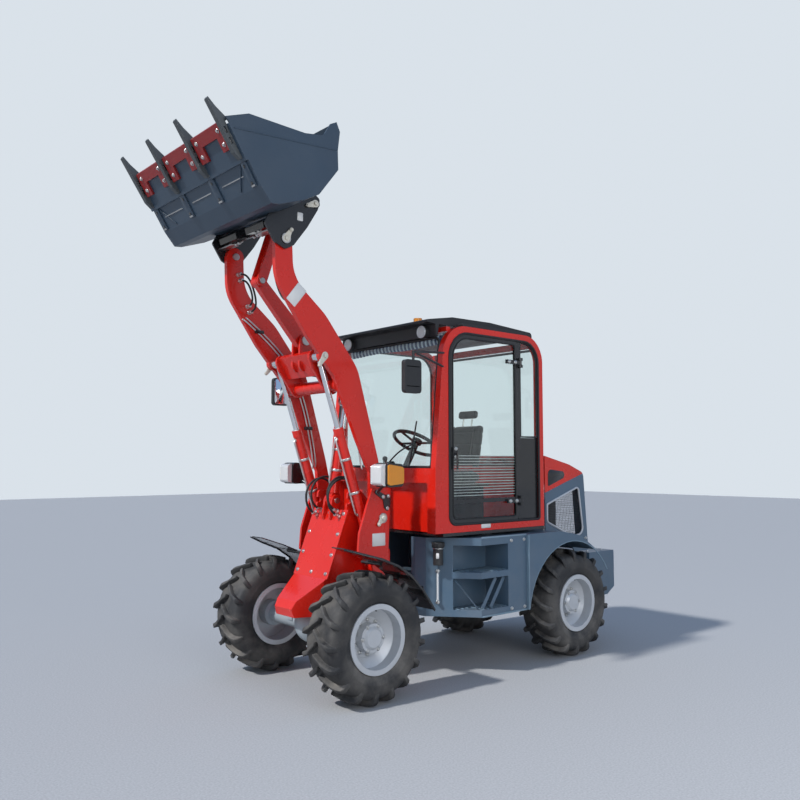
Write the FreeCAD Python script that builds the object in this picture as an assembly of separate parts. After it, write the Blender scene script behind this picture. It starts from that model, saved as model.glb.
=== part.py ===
import FreeCAD, Part
import math
import os

from FreeCAD import Vector

# Compact articulated wheel loader, millimetres. X forward, Y to the machine's left, Z up.
# X is measured from midway between the axles while building; save() moves the finished
# pieces so that X = 0 is the middle of the whole machine's length. Pairs are (x, z) points
# in the machine's side view unless a comment says otherwise.

# Wheels and axles
wheel_base = 2050
front_axle_x = wheel_base / 2
rear_axle_x = -wheel_base / 2
track = 1160
tyre_radius = 415
tyre_width = 300
rim_radius = 222
rim_width = 270
rim_lip = 26
rim_edge = 12
rim_wall = 8
disc_y = 10
disc_thick = 14
disc_flat = 128
dish_depth = 46
lug_height = 34
lug_width = 36
lugs_per_side = 17
tyre_sides = 34
hub_radius = 92
hub_long = 62
axle_z = tyre_radius
axle_tube_radius = 62
diff_radius = 135
flange_radius = 92
flange_long = 90
spindle_radius = 40
saddle_y = 200
saddle_half = 30

# Articulation between the rear and the front frame
pivot_x = 300
pivot_pin_radius = 27
ear_radius = 78
ear_thick = 28
ear_half_back = 150
upper_ear_z = 706
lower_ear_z = 452
running_gap = 5
fit_gap = 0.1
front_wall_x = pivot_x + 190
fork_x = pivot_x - 420
steer_z = 593
front_steer = (500, 238)  # (x, y) of the rod's eye
rear_steer = (-70, 205)  # (x, y) of the barrel's foot
steer_eye_radius = 26
steer_pin_radius = 12
steer_barrel_radius = 27
steer_rod_radius = 14
lug_thick = 14
steer_lug_levels = (steer_z - 26, steer_z + 12)

# Rear chassis
rail_y = 215
rail_thick = 24
rail_low_z = 520
rail_top_z = 680
cross_thick = 20

# Front frame (tower)
tower_half = 360
tower_plate = 20
boom_pin = (700, 1145)
boom_pin_radius = 25
inner_half = 190
inner_plate = 20
tower_foot_z = 492
nose_half = 205
nose_top = (885, 1200)
nose_low = (1062, 738)
nose_thick = 14
deck_plate = (1150, 1166)
lift_base = (680, 800)
tilt_base = (869, 1259)
eye_half = 30

# Boom, at the height where it stands
boom_tip = (1514, 2985)
arm_out = 333
arm_thick = 35
lift_eye = (1180, 2249)
crank_pin = (1148, 2383)
crank_nose = (1502, 2759)
crank_tail = (742, 2061)
link_eye = (1365, 3178)
torque_at = (1040, 2060)
bracket_root = (1152, 2213)
bracket_thick = 20
lift_y = 255
barrel_radius = 36
rod_radius = 20
tilt_barrel_radius = 40
tilt_rod_radius = 22
pin_radius = 20

# Hoses
tower_hose_radius = 8
arm_hose_radius = 7

# Bucket
bucket_half = 655
bucket_wall = 12
lip = (2075, 3470)
heel = (1886, 3171)
floor_turn = math.radians(57.7)
tooth_wide = 34
tooth_pitch = 407.5
segment_half = 176

# Cab
cab_half = 620
ring_thick = 50
cab_front_x = 437
floor_z = 1034
sill_z = 1490
cab_rear_x = -739
cab_top_z = 2524
opening_rear_x = -682
opening_low_z = 1090
opening_high_z = 2472
door_hinge_x = -455
door_front_x = 300
door_rail = (1238, 1268)
hinge_levels = (1240, 2300)
glass = 6

# Platform, fenders, hood and counterweight
side_out = 700
deck_z = 990
box_floor_z = 430
arch_radius = 530
arch = (rear_axle_x + 40, 372)
fender_in, fender_out = 432, 735
fender_thick = 7
hood_half = 450
hood_skin = 10
tail_x = -1835
tail_half = 500
weight_front_x = -1480
weight_top = 759
tow_bore_low = 480
tow_pin_radius = 16
hood_low_z = 775
hood_hinge = (-955, 1545)
hood_pin_radius = 8
engine_top_z = 1200

mid_x = 198.7

AX, AY, AZ = Vector(1, 0, 0), Vector(0, 1, 0), Vector(0, 0, 1)


def wire(points, plane, level):
    """Closed outline from (a, b) or (a, b, radius) rows; a radius rounds that corner."""
    place = {
        "xz": lambda a, b: Vector(a, level, b),
        "xy": lambda a, b: Vector(a, b, level),
        "yz": lambda a, b: Vector(level, a, b),
    }[plane]
    corners = [(place(row[0], row[1]), row[2] if len(row) > 2 else 0) for row in points]
    edges, starts, ends = [], [], []
    for i, (here, radius) in enumerate(corners):
        before, after = corners[i - 1][0], corners[(i + 1) % len(corners)][0]
        if radius == 0:
            starts.append(here)
            ends.append(here)
            edges.append(None)
            continue
        to_before = (before - here).normalize()
        to_after = (after - here).normalize()
        half = to_before.getAngle(to_after) / 2
        reach = radius / math.tan(half)
        first, last = here + to_before * reach, here + to_after * reach
        middle_way = (to_before + to_after).normalize()
        middle = here + middle_way * (radius / math.sin(half) - radius)
        starts.append(first)
        ends.append(last)
        edges.append(Part.Arc(first, middle, last).toShape())
    loop = []
    for i in range(len(corners)):
        if edges[i]:
            loop.append(edges[i])
        following = starts[(i + 1) % len(corners)]
        if ends[i].distanceToPoint(following) > 0.001:
            loop.append(Part.LineSegment(ends[i], following).toShape())
    return Part.Wire(loop)


def plate(points, plane, low, high):
    """Flat plate: an outline in a plane, from low to high across it."""
    way = {"xz": AY, "xy": AZ, "yz": AX}[plane]
    return Part.Face(wire(points, plane, low)).extrude(way * (high - low))


def box(x0, x1, y0, y1, z0, z1):
    return Part.makeBox(x1 - x0, y1 - y0, z1 - z0, Vector(x0, y0, z0))


def pin_y(at, radius, y0, y1):
    return Part.makeCylinder(radius, y1 - y0, Vector(at[0], y0, at[1]), AY)


def pin_z(x, y, radius, z0, z1):
    return Part.makeCylinder(radius, z1 - z0, Vector(x, y, z0), AZ)


def bar(start, end, radius):
    """Round bar between two points in space."""
    a, b = Vector(*start), Vector(*end)
    return Part.makeCylinder(radius, a.distanceToPoint(b), a, b - a)


def fuse(*shapes):
    first = shapes[0]
    return first.multiFuse(list(shapes[1:])).removeSplitter() if len(shapes) > 1 else first


def cut(body, *tools):
    return body.cut(Part.makeCompound(list(tools)))


def mirrored(shape):
    """The same shape on the machine's right side."""
    return shape.mirror(Vector(0, 0, 0), AY)


def both_sides(shape):
    return [shape, mirrored(shape)]


def along(start, end, distance):
    """The point at a distance from start towards end, in the XZ plane."""
    share = distance / math.dist(start, end)
    return (start[0] + (end[0] - start[0]) * share, start[1] + (end[1] - start[1]) * share)


def offset_point(start, end, distance, side):
    """A point at a distance along start-end and a step to the left of that line."""
    length = math.dist(start, end)
    ux, uz = (end[0] - start[0]) / length, (end[1] - start[1]) / length
    return (start[0] + ux * distance - uz * side, start[1] + uz * distance + ux * side)


def offset_rows(start, end, rows):
    """Outline measured from a line: each row is a distance along it and a step to its left."""
    return [offset_point(start, end, distance, side) for distance, side in rows]


def strap(start, end, r0, r1, y0, y1):
    """Tapered lever: two round ends joined by a straight web, in the XZ plane."""
    length = math.dist(start, end)
    web = offset_rows(start, end, [(0, r0), (length, r1), (length, -r1), (0, -r0)])
    return fuse(pin_y(start, r0, y0, y1), pin_y(end, r1, y0, y1), plate(web, "xz", y0, y1))


def moved_chain(points, step):
    """The same chain of points moved sideways by a step, with mitred corners."""
    ways = []
    for a, b in zip(points, points[1:]):
        length = math.dist(a, b)
        ways.append((-(b[1] - a[1]) / length, (b[0] - a[0]) / length))
    moved = []
    for here, before, after in zip(points, ways[:1] + ways, ways + ways[-1:]):
        nx, nz = before[0] + after[0], before[1] + after[1]
        size = nx * before[0] + nz * before[1]
        moved.append((here[0] + nx * step / size, here[1] + nz * step / size))
    return moved


def bent(points, step, y0, y1):
    """Bent sheet: a chain of points, thickened by a step to one side."""
    return plate(points + moved_chain(points, step)[::-1], "xz", y0, y1)


def revolve(points):
    """Solid of (y, radius) rows turned about the Y axis."""
    rows = [Vector(0, row[0], row[1]) for row in points]
    face = Part.Face(Part.makePolygon(rows + rows[:1]))
    return face.revolve(Vector(0, 0, 0), AY, 360)


def save(name, *solids):
    shape = solids[0] if len(solids) == 1 else Part.makeCompound(list(solids))
    shape = shape.copy()
    shape.translate(Vector(-mid_x, 0, 0))
    shape.exportStep("parts/" + name + ".step")


os.makedirs("parts", exist_ok=True)


# Wheels: a bar-lug tyre on a deep-dish steel rim, the same at all four corners.
def faceted_ring(profile, sides):
    """Ring about the Y axis with flat sides, from (y, radius to a corner) rows."""
    def corner(row, i):
        turn = 2 * math.pi * i / sides
        return Vector(row[1] * math.sin(turn), row[0], row[1] * math.cos(turn))
    faces = []
    for near, far in zip(profile, profile[1:] + profile[:1]):
        for i in range(sides):
            quad = [corner(near, i), corner(far, i), corner(far, i + 1), corner(near, i + 1)]
            faces.append(Part.Face(Part.makePolygon(quad + quad[:1])))
    return Part.Solid(Part.makeShell(faces))


def make_tyre():
    half = tyre_width / 2
    crown = tyre_radius - lug_height
    seat = (rim_radius - rim_lip + fit_gap) / math.cos(math.pi / tyre_sides)
    shoulder = half - 30
    bead_y = rim_width / 2 - rim_edge - fit_gap
    side = [(bead_y, seat), (bead_y, rim_radius + 3), (half - 10, rim_radius + 24), (half, 318),
            (shoulder, crown - 12)]
    carcass = faceted_ring(side + [(-y, r) for y, r in reversed(side)], tyre_sides)
    if carcass.Volume < 0:
        carcass.reverse()
    # One lug as (along the tread, across it) rows: from the middle line out over the shoulder.
    lead, sweep, knee = lug_width / 2, 96, 58
    rows = [(-lead, -12), (lead, -12), (knee + lead, 64), (sweep + lead, half + 2),
            (sweep - lead, half + 2), (knee - lead, 64)]
    middle = sweep / 2
    top = math.sqrt(tyre_radius ** 2 - (middle + lead) ** 2)
    outline = [Vector(s - middle, y, crown - 34) for s, y in rows]
    lug = Part.Face(Part.makePolygon(outline + outline[:1])).extrude(AZ * (top - crown + 34))
    slope = [(half + 4, top + 1), (half - 26, top + 1), (half + 4, top - 26)]
    lug = lug.cut(plate(slope, "yz", -tyre_width, tyre_width))
    pitch = 360 / lugs_per_side
    lugs = []
    for i in range(lugs_per_side):
        for shape, turn in ((lug, i * pitch), (mirrored(lug), (i + 0.5) * pitch)):
            copy = shape.copy()
            copy.rotate(Vector(0, 0, 0), AY, turn)
            lugs.append(copy)
    return carcass.multiFuse(lugs)


def make_rim():
    half = rim_width / 2
    barrel = rim_radius - rim_lip
    well = barrel - rim_wall
    face_y = disc_y + disc_thick / 2
    back_y = disc_y - disc_thick / 2
    # (y, radius) rows of the half section: outer flange, barrel, inner flange, dish, disc
    rows = [(half, rim_radius), (half - rim_edge, rim_radius), (half - rim_edge, barrel),
            (-half + rim_edge, barrel), (-half + rim_edge, rim_radius), (-half, rim_radius),
            (-half, well), (back_y, well), (back_y, spindle_radius + fit_gap),
            (face_y, spindle_radius + fit_gap), (face_y, disc_flat),
            (disc_y + dish_depth, well), (half, well)]
    hub = Part.makeCylinder(hub_radius, hub_long, Vector(0, face_y, 0), AY)
    cap = Part.makeCone(hub_radius * 0.8, hub_radius * 0.62, 16, Vector(0, face_y + hub_long, 0), AY)
    bore = Part.makeCylinder(spindle_radius + fit_gap, hub_long - 20, Vector(0, face_y, 0), AY)
    return revolve(rows).fuse(hub).fuse(cap).cut(bore)


tyre = make_tyre()
rim = make_rim()
# (corner, x of the axle, whether it is on the right)
wheel_rows = [("front_left", front_axle_x, False), ("front_right", front_axle_x, True),
              ("rear_left", rear_axle_x, False), ("rear_right", rear_axle_x, True)]
for corner_name, x, right in wheel_rows:
    for kind, shape in (("tyre_", tyre), ("rim_", rim)):
        piece = mirrored(shape) if right else shape.copy()
        piece.translate(Vector(x, (-track if right else track) / 2, axle_z))
        save(kind + corner_name, piece)


# Axles: a tube with a differential in its middle, and a spindle that carries each hub.
hub_face = track / 2 + disc_y - disc_thick / 2


def make_axle(x, saddle_top):
    tube = pin_y((x, axle_z), axle_tube_radius, -hub_face + 80, hub_face - 80)
    middle = Part.makeSphere(diff_radius, Vector(x, 0, axle_z))
    nose_way = 1 if x < 0 else -1
    nose = Part.makeCone(diff_radius * 0.72, 50, diff_radius + 55, Vector(x, 0, axle_z), AX * nose_way)
    parts = [tube, middle, nose]
    for side in (1, -1):
        root = Vector(x, side * (hub_face - flange_long), axle_z)
        parts.append(Part.makeCylinder(flange_radius, flange_long - running_gap, root, AY * side))
        parts.append(Part.makeCylinder(spindle_radius, flange_long + disc_thick + 40, root, AY * side))
        pad_y = side * saddle_y
        parts.append(box(x - 70, x + 70, pad_y - saddle_half, pad_y + saddle_half, axle_z,
                         saddle_top - fit_gap))
    return fuse(*parts)


save("front_axle", make_axle(front_axle_x, tower_foot_z))
save("rear_axle", make_axle(rear_axle_x, rail_low_z))


# Rear chassis: two rails, cross members and the fork that holds the articulation pin.
def ear(z, x_back):
    """Hinge plate about the articulation pin, round in front, wide at the back."""
    way = 1 if x_back > pivot_x else -1
    tip_x = pivot_x - way * ear_radius
    x_wide = pivot_x + way * 120
    x_neck = x_wide - way * 60
    half_back = ear_half_back
    rows = [(tip_x, -ear_radius, ear_radius - 1), (tip_x, ear_radius, ear_radius - 1),
            (x_neck, ear_radius), (x_wide, half_back), (x_back, half_back),
            (x_back, -half_back), (x_wide, -half_back), (x_neck, -ear_radius)]
    solid = plate(rows, "xy", z, z + ear_thick)
    return solid.cut(pin_z(pivot_x, 0, pivot_pin_radius + fit_gap, z - 1, z + ear_thick + 1))


rail_in, rail_side = rail_y - rail_thick / 2, rail_y + rail_thick / 2
chassis_parts = both_sides(box(weight_front_x + fit_gap, fork_x, rail_in, rail_side, rail_low_z, rail_top_z))
for x in (fork_x - cross_thick, -560, -1180, -1470):
    chassis_parts.append(box(x, x + cross_thick, -rail_y, rail_y, rail_low_z, rail_top_z))
chassis_parts.append(box(fork_x - cross_thick, fork_x, -rail_side, rail_side, lower_ear_z - 70, rail_top_z))
inner_low = lower_ear_z + ear_thick + fit_gap
inner_high = upper_ear_z - fit_gap - ear_thick
for z in (inner_low, inner_high):
    chassis_parts.append(ear(z, fork_x - 10))
for x in (-700, fork_x - 95):
    chassis_parts += both_sides(box(x, x + 60, rail_y - 24, rail_y + 24, rail_top_z, floor_z - 24))
# Lugs above and below the foot of each steering cylinder.
foot_x, foot_y = rear_steer
foot_rows = [(fork_x - 2, 165), (fork_x - 2, 226), (foot_x, foot_y + 26), (foot_x, foot_y - 26)]
for low in steer_lug_levels:
    high = low + lug_thick
    foot_lug = fuse(plate(foot_rows, "xy", low, high), pin_z(foot_x, foot_y, 26, low, high))
    foot_hole = pin_z(foot_x, foot_y, steer_pin_radius + fit_gap, low - 1, high + 1)
    chassis_parts += both_sides(foot_lug.cut(foot_hole))
# Posts behind the cab with the pins that the hood tips on.
for low in (-318, 290):
    chassis_parts.append(box(-935, -900, low, low + 28, 690, 1530))
    chassis_parts.append(box(-965, -900, low, low + 28, 1525, 1562))
chassis_parts.append(box(-935, -900, -318, 318, 670, 700))
chassis_parts += both_sides(pin_y(hood_hinge, hood_pin_radius, 300, 338))
save("rear_chassis", fuse(*chassis_parts))

chassis_pins = both_sides(pin_z(foot_x, foot_y, steer_pin_radius, steer_z - 32, steer_z + 32))
for low, head in ((lower_ear_z, -12), (inner_high, 2 * ear_thick + fit_gap + 2)):
    shank = pin_z(pivot_x, 0, pivot_pin_radius, low - 12, low + 2 * ear_thick + 12)
    collar = pin_z(pivot_x, 0, pivot_pin_radius + 10, low + head, low + head + 10)
    chassis_pins.append(fuse(shank, collar))
save("chassis_pins", *chassis_pins)

# Front frame: two outer plates, an inner box on the front axle, and the nose.
inner_in = inner_half - inner_plate
outer_in = tower_half - tower_plate
outer_rows = [(626, 1352, 12), (646, 925, 25), (640, 728), (775, 728, 20), (800, 872), (915, 885, 15),
              (902, 1050), (832, 1250), (792, 1352, 12)]
inner_rows = [(front_wall_x, 440), (front_wall_x, 900, 30), (638, 1010), (655, 1230), (760, 1330, 20),
              (872, 1330, 25), nose_top, nose_low, (1060, tower_foot_z), (720, tower_foot_z), (650, 440)]
prow_rows = [(1040, tower_foot_z), (1040, 795), nose_low, (1250, 600, 15), (1280, 548),
             (1262, tower_foot_z)]
prow = plate(prow_rows, "xz", -inner_half, inner_half)
for side in (1, -1):
    wedge = [(1075, side * inner_half), (1290, side * 98), (1290, side * 200), (1075, side * 200)]
    prow = prow.cut(plate(wedge, "xy", 400, 900))
nose_face = [nose_top, nose_low, (nose_low[0] - nose_thick, nose_low[1]),
             (nose_top[0] - nose_thick, nose_top[1])]
tower = both_sides(plate(outer_rows, "xz", outer_in, tower_half))
tower += both_sides(plate(inner_rows, "xz", inner_in, inner_half))
tower += both_sides(box(640, 655, inner_in, outer_in + 1, 905, 1050))
tower += both_sides(box(640, 775, inner_in, outer_in + 1, 728, 740))
tower += [box(front_wall_x, front_wall_x + 20, -inner_half, inner_half, 440, 880),
          plate(nose_face, "xz", -nose_half, nose_half), prow,
          box(front_wall_x, 1060, -inner_half, inner_half, tower_foot_z, tower_foot_z + 16),
          box(640, 870, -inner_in - 1, inner_in + 1, deck_plate[0], deck_plate[1]),
          ear(lower_ear_z, front_wall_x + 5), ear(upper_ear_z, front_wall_x + 5)]
# Bosses round the boom pins and the lift-cylinder pins.
for at, radius in ((boom_pin, 48), (lift_base, 42)):
    tower += both_sides(pin_y(at, radius, outer_in - 3, outer_in + 1))
    tower += both_sides(pin_y(at, radius, inner_in, inner_half + 3))
# Bracket pair that carries the foot of the tilt cylinder.
tower += both_sides(strap((tilt_base[0], 1160), tilt_base, 60, 42, eye_half + 2, eye_half + 22))
# Lugs above and below the eye of each steering cylinder.
eye_x, eye_y = front_steer
steer_eye_rows = [(eye_x - 28, eye_y), (eye_x + 28, eye_y), (590, inner_half - 4), (590, inner_in + 4),
                  (front_wall_x + 2, inner_in + 4)]
for low in steer_lug_levels:
    high = low + lug_thick
    tower += both_sides(fuse(plate(steer_eye_rows, "xy", low, high), pin_z(eye_x, eye_y, 28, low, high)))
front_cuts = []
for at, radius in ((boom_pin, boom_pin_radius), (lift_base, pin_radius), (tilt_base, pin_radius)):
    front_cuts.append(pin_y(at, radius + fit_gap, -tower_half - 1, tower_half + 1))
front_cuts.append(Part.makeSphere(diff_radius + 4, Vector(front_axle_x, 0, axle_z)))
front_cuts.append(box(front_axle_x - 205, front_axle_x, -105, 105, 480, 518))
save("front_frame", cut(fuse(*tower), *front_cuts))

# Pins that the front frame holds: the boom's and those of the lift cylinders.
front_pins = []
for at, radius in ((boom_pin, boom_pin_radius), (lift_base, pin_radius)):
    shank = pin_y(at, radius, inner_in - 4, tower_half + 6)
    front_pins += both_sides(fuse(shank, pin_y(at, radius + 10, tower_half + fit_gap, tower_half + 10)))
save("front_pins", *front_pins)

# Front fenders: a bent strip over the back of each tyre, on two bars from the tower.
# (ahead of the axle, height) rows of the strip's upper face
fender_rows = [(165, 978), (-15, 918), (-155, 862), (-265, 790), (-365, 690), (-427, 610), (-472, 546)]
fender_chain = [(front_axle_x + ahead, z) for ahead, z in fender_rows]
corner_x, end_x = front_axle_x - 15, front_axle_x + 175
slant = [(corner_x, fender_out + fit_gap), (end_x, fender_out + fit_gap), (end_x, 560)]
front_fender = bent(fender_chain, -fender_thick, fender_in, fender_out).cut(plate(slant, "xy", 850, 1000))
fender_bars = []
for ahead, z in ((-145, 859), (-290, 755)):
    fender_bars.append(bar((front_axle_x + ahead, tower_half, z), (front_axle_x + ahead, 560, z), 12))
save("front_fenders", *both_sides(fuse(front_fender, *fender_bars)))

# Boom: two arms, a torque tube, the cross box between them and the crank's brackets.
arm_in = arm_out - arm_thick
arm_rows = [(628, 1180), (722, 1560), (905, 2180, 300), (1180, 2525, 400), (1440, 2740, 250),
            (1452, 2985), (1585, 2985), (1575, 2720, 300), (1330, 2370, 300), (1107, 2116),
            (1010, 1923), (911, 1698), (796, 1467), (775, 1145), (628, 1145)]
cross_rows = [(1218, 2273), (1130, 2128), (1087, 2154), (1175, 2299)]
eye_plate_in, eye_plate_out = 192.5, 212.5
crank_bracket_in = 33
boom_parts = both_sides(plate(arm_rows, "xz", arm_in, arm_out))
boom_parts += both_sides(pin_y(boom_pin, 75, arm_in, arm_out))
boom_parts += both_sides(pin_y(boom_pin, 45, inner_half + 7, arm_out))
boom_parts += both_sides(pin_y(boom_tip, 66, arm_in, arm_out))
boom_parts += both_sides(pin_y(lift_eye, 50, arm_in, arm_out))
boom_parts.append(pin_y(torque_at, 45, -arm_in - 2, arm_in + 2))
boom_parts.append(plate(cross_rows, "xz", -195, 195))
boom_parts += both_sides(strap(torque_at, bracket_root, 60, 62, eye_plate_in, eye_plate_out))
boom_parts += both_sides(strap(bracket_root, lift_eye, 62, 50, eye_plate_in, eye_plate_out))
boom_parts += both_sides(strap((1150, 2215), crank_pin, 50, 46, crank_bracket_in,
                               crank_bracket_in + bracket_thick))
boom_cuts = [pin_y(boom_pin, boom_pin_radius + fit_gap, -arm_out - 1, arm_out + 1),
             pin_y(boom_tip, boom_pin_radius + fit_gap, -arm_out - 1, arm_out + 1),
             pin_y(crank_pin, boom_pin_radius + fit_gap, -60, 60)]
save("boom", cut(fuse(*boom_parts), *boom_cuts))


# Cylinders. Distances run along the line from the foot to the far eye.
def point_on(start, end, distance, y):
    at = along(start, end, distance)
    return (at[0], y, at[1])


def cylinder_bar(ends, y, from_foot, to_foot, radius):
    """Round bar along a cylinder's line, between two distances from its foot."""
    return bar(point_on(*ends, from_foot, y), point_on(*ends, to_foot, y), radius)


def cylinder_barrel(ends, y, eye, radius, reach, bore):
    """Barrel with an eye at its foot; eye is (radius, half width), bore is (radius, from)."""
    foot = ends[0]
    neck = offset_rows(*ends, [(0, 30), (eye[0] + 20, 30), (eye[0] + 20, -30), (0, -30)])
    solid = fuse(pin_y(foot, eye[0], y - eye[1], y + eye[1]), plate(neck, "xz", y - 26, y + 26),
                 cylinder_bar(ends, y, eye[0] + 10, reach, radius),
                 cylinder_bar(ends, y, reach - 50, reach, radius + 4))
    return cut(solid, pin_y(foot, pin_radius + fit_gap, y - 100, y + 100),
               cylinder_bar(ends, y, bore[1], reach + 1, bore[0]))


lift_ends = (lift_base, lift_eye)
lift_reach = 1023
lift_rod_from = 830
lift_barrel = cylinder_barrel(lift_ends, lift_y, (42, 40), barrel_radius - 3, lift_reach,
                              (rod_radius + 1, 400))
lift_rod = fuse(cylinder_bar(lift_ends, lift_y, lift_rod_from, math.dist(*lift_ends), rod_radius),
                pin_y(lift_eye, 38, eye_plate_out + 0.5, arm_in - 0.5))
for hand, barrel, rod in (("left", lift_barrel, lift_rod),
                          ("right", mirrored(lift_barrel), mirrored(lift_rod))):
    save("lift_barrel_" + hand, barrel)
    save("lift_rod_" + hand, rod)

# The tilt cylinder's rod ends in a fork: a root plate and two cheeks beside the crank.
tilt_ends = (tilt_base, crank_tail)
tilt_reach = 520
cheek_in, cheek_out = 26, 47
tilt_barrel = cylinder_barrel(tilt_ends, 0, (42, eye_half), tilt_barrel_radius, tilt_reach,
                              (tilt_rod_radius + 1, 150))
fork_from = math.dist(*tilt_ends) - 78
root_rows = offset_rows(*tilt_ends, [(fork_from - 30, 26), (fork_from, 34), (fork_from, -34),
                                     (fork_from - 30, -26)])
tilt_cheek = strap(along(*tilt_ends, fork_from - 5), crank_tail, 34, 38, cheek_in, cheek_out)
save("tilt_barrel", tilt_barrel)
save("tilt_rod", fuse(cylinder_bar(tilt_ends, 0, 300, fork_from - 15, tilt_rod_radius),
                      plate(root_rows, "xz", -cheek_out, cheek_out), *both_sides(tilt_cheek)))
save("tilt_base_pin", pin_y(tilt_base, pin_radius, -eye_half - 30, eye_half + 30))

# Bucket linkage: the crank on its pin, the link and the pins that carry them.
crank_half = 25
crank = fuse(strap(crank_tail, crank_pin, 40, 58, -crank_half, crank_half),
             strap(crank_pin, crank_nose, 58, 38, -crank_half, crank_half))
nose_hole = pin_y(crank_nose, pin_radius + fit_gap, -60, 60)
save("crank", cut(crank, pin_y(crank_pin, boom_pin_radius + fit_gap, -60, 60), nose_hole))
crank_collars = both_sides(pin_y(crank_pin, 34, crank_bracket_in + bracket_thick + fit_gap, 62))
save("crank_pin", fuse(pin_y(crank_pin, boom_pin_radius, -60, 60), *crank_collars))
save("link_pin", pin_y(crank_nose, pin_radius, -54, 54))
link_web = offset_rows(crank_nose, link_eye, [(170, 22), (260, 22), (260, -22), (170, -22)])
link = fuse(*both_sides(strap(crank_nose, link_eye, 36, 36, cheek_in, cheek_out)),
            plate(link_web, "xz", -cheek_out, cheek_out))
save("link", cut(link, nose_hole))
hitch_pin = fuse(pin_y(boom_tip, boom_pin_radius, 285, 360), pin_y(boom_tip, 34, 354, 362))
save("hitch_pins", *both_sides(hitch_pin))

# Bucket: a bent shell with side plates; its outer skin runs from the lip to the top edge.
skin_rows = [lip, heel, (1810, 3082), (1757, 3087), (1577, 3152), (1464, 3211), (1317, 3403),
             (1322, 3527), (1306, 3656), (1333, 3714)]
side_rows = skin_rows + [(1380, 3690), (1434, 3600, 40), (1574, 3577), (1973, 3588), (2125, 3530)]
bucket_parts = [bent(skin_rows, -bucket_wall, -bucket_half, bucket_half)]
bucket_parts += both_sides(plate(side_rows, "xz", bucket_half - bucket_wall, bucket_half))
floor_way = (math.cos(floor_turn), math.sin(floor_turn))


def under_lip(rows):
    """Outline from the lip: each row is ahead along the floor and below its outer skin."""
    return [(lip[0] + ahead * floor_way[0] + below * floor_way[1],
             lip[1] + ahead * floor_way[1] - below * floor_way[0]) for ahead, below in rows]


edge_rows = under_lip([(-190, 0), (40, 0), (34, 14), (-190, 14)])
bucket_parts.append(plate(edge_rows, "xz", -bucket_half, bucket_half))
tooth_rows = under_lip([(-170, 10), (60, 10), (60, -14), (150, 26), (214, 45), (206, 56), (40, 52),
                        (-120, 48), (-170, 30)])
for y in (-1.5 * tooth_pitch, -0.5 * tooth_pitch, 0.5 * tooth_pitch, 1.5 * tooth_pitch):
    bucket_parts.append(plate(tooth_rows, "xz", y - tooth_wide / 2, y + tooth_wide / 2))
# Hooks behind the shell that drop over the hitch's top tube.
hook_rows = [(1464, 3211), (1340, 3372), (1262, 3320, 25), (1240, 3262, 25), (1262, 3225, 15),
             (1330, 3228), (1400, 3190), (1470, 3180), (1540, 3165)]
top_tube = (1285, 3262)
top_tube_radius = 32
hook_hole = pin_y(top_tube, top_tube_radius + fit_gap, -400, 400)
bucket_parts += both_sides(plate(hook_rows, "xz", 288, 312).cut(hook_hole))
save("bucket", fuse(*bucket_parts))

# Bolted edge segments between the teeth, each notched behind.
segment_rows = under_lip([(-95, 14 + fit_gap), (75, 14 + fit_gap), (69, 30), (-95, 30)])
notch_rows = under_lip([(-100, 0), (-5, 0), (-5, 60), (-100, 60)])
segments = []
for y in (-tooth_pitch, 0, tooth_pitch):
    blank = plate(segment_rows, "xz", y - segment_half, y + segment_half)
    segments.append(blank.cut(plate(notch_rows, "xz", y - 92, y + 92)))
save("bucket_edge", *segments)

# Quick hitch between the boom's tips and the bucket.
hitch_in, hitch_out = 338, 352
cheek_rows = [(1676, 3065, 20), (1610, 3190), (1300, 3335, 30), (1245, 3300, 25), (1262, 3225),
              (1345, 3090), (1452, 2950, 40), (1514, 2915, 30), (1600, 2950, 40)]
skin_block = plate(skin_rows, "xz", -bucket_half, bucket_half)
cross_tube = (1530, 3099)
panel_rows = [(1527, 3076), (1640, 3046), (1652, 3085), (1580, 3140), (1520, 3120)]
eye_rows = [(1365, 3216), (1365, 3140), (1500, 3080), (1545, 3086), (1530, 3127), (1470, 3168)]
hitch = fuse(*both_sides(plate(cheek_rows, "xz", hitch_in, hitch_out).cut(skin_block)),
             *both_sides(plate(panel_rows, "xz", 62, 290).cut(skin_block)),
             pin_y(cross_tube, 26, -hitch_in - 1, hitch_in + 1),
             pin_y(top_tube, top_tube_radius, -hitch_out - 8, hitch_out + 8),
             plate(eye_rows, "xz", -crank_half, crank_half),
             pin_y(link_eye, 38, -crank_half, crank_half))
save("hitch", cut(hitch, pin_y(boom_tip, boom_pin_radius + fit_gap, -400, 400)))

# Steering cylinders between the fork and the front frame, measured along from the foot.
steer_length = math.dist(front_steer, rear_steer)


def steer_bar(from_foot, to_foot, radius):
    """Round bar along the left steering cylinder, between two distances from its foot."""
    near = along(rear_steer, front_steer, from_foot)
    far = along(rear_steer, front_steer, to_foot)
    return bar((near[0], near[1], steer_z), (far[0], far[1], steer_z), radius)


steer_tube = fuse(pin_z(foot_x, foot_y, steer_eye_radius, steer_z - 11.5, steer_z + 11.5),
                  steer_bar(5, 50, 11), steer_bar(36, 375, steer_barrel_radius - 4),
                  steer_bar(340, 375, steer_barrel_radius))
steer_hole = pin_z(foot_x, foot_y, steer_pin_radius + fit_gap, steer_z - 40, steer_z + 40)
steer_barrel = cut(steer_tube, steer_hole, steer_bar(50, 376, steer_rod_radius + 1))
steer_rod = fuse(steer_bar(200, steer_length, steer_rod_radius - 3),
                 pin_z(eye_x, eye_y, steer_eye_radius, steer_z - 11.5, steer_z + 11.5))
for hand, barrel, rod in (("left", steer_barrel, steer_rod),
                          ("right", mirrored(steer_barrel), mirrored(steer_rod))):
    save("steer_barrel_" + hand, barrel)
    save("steer_rod_" + hand, rod)


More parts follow.
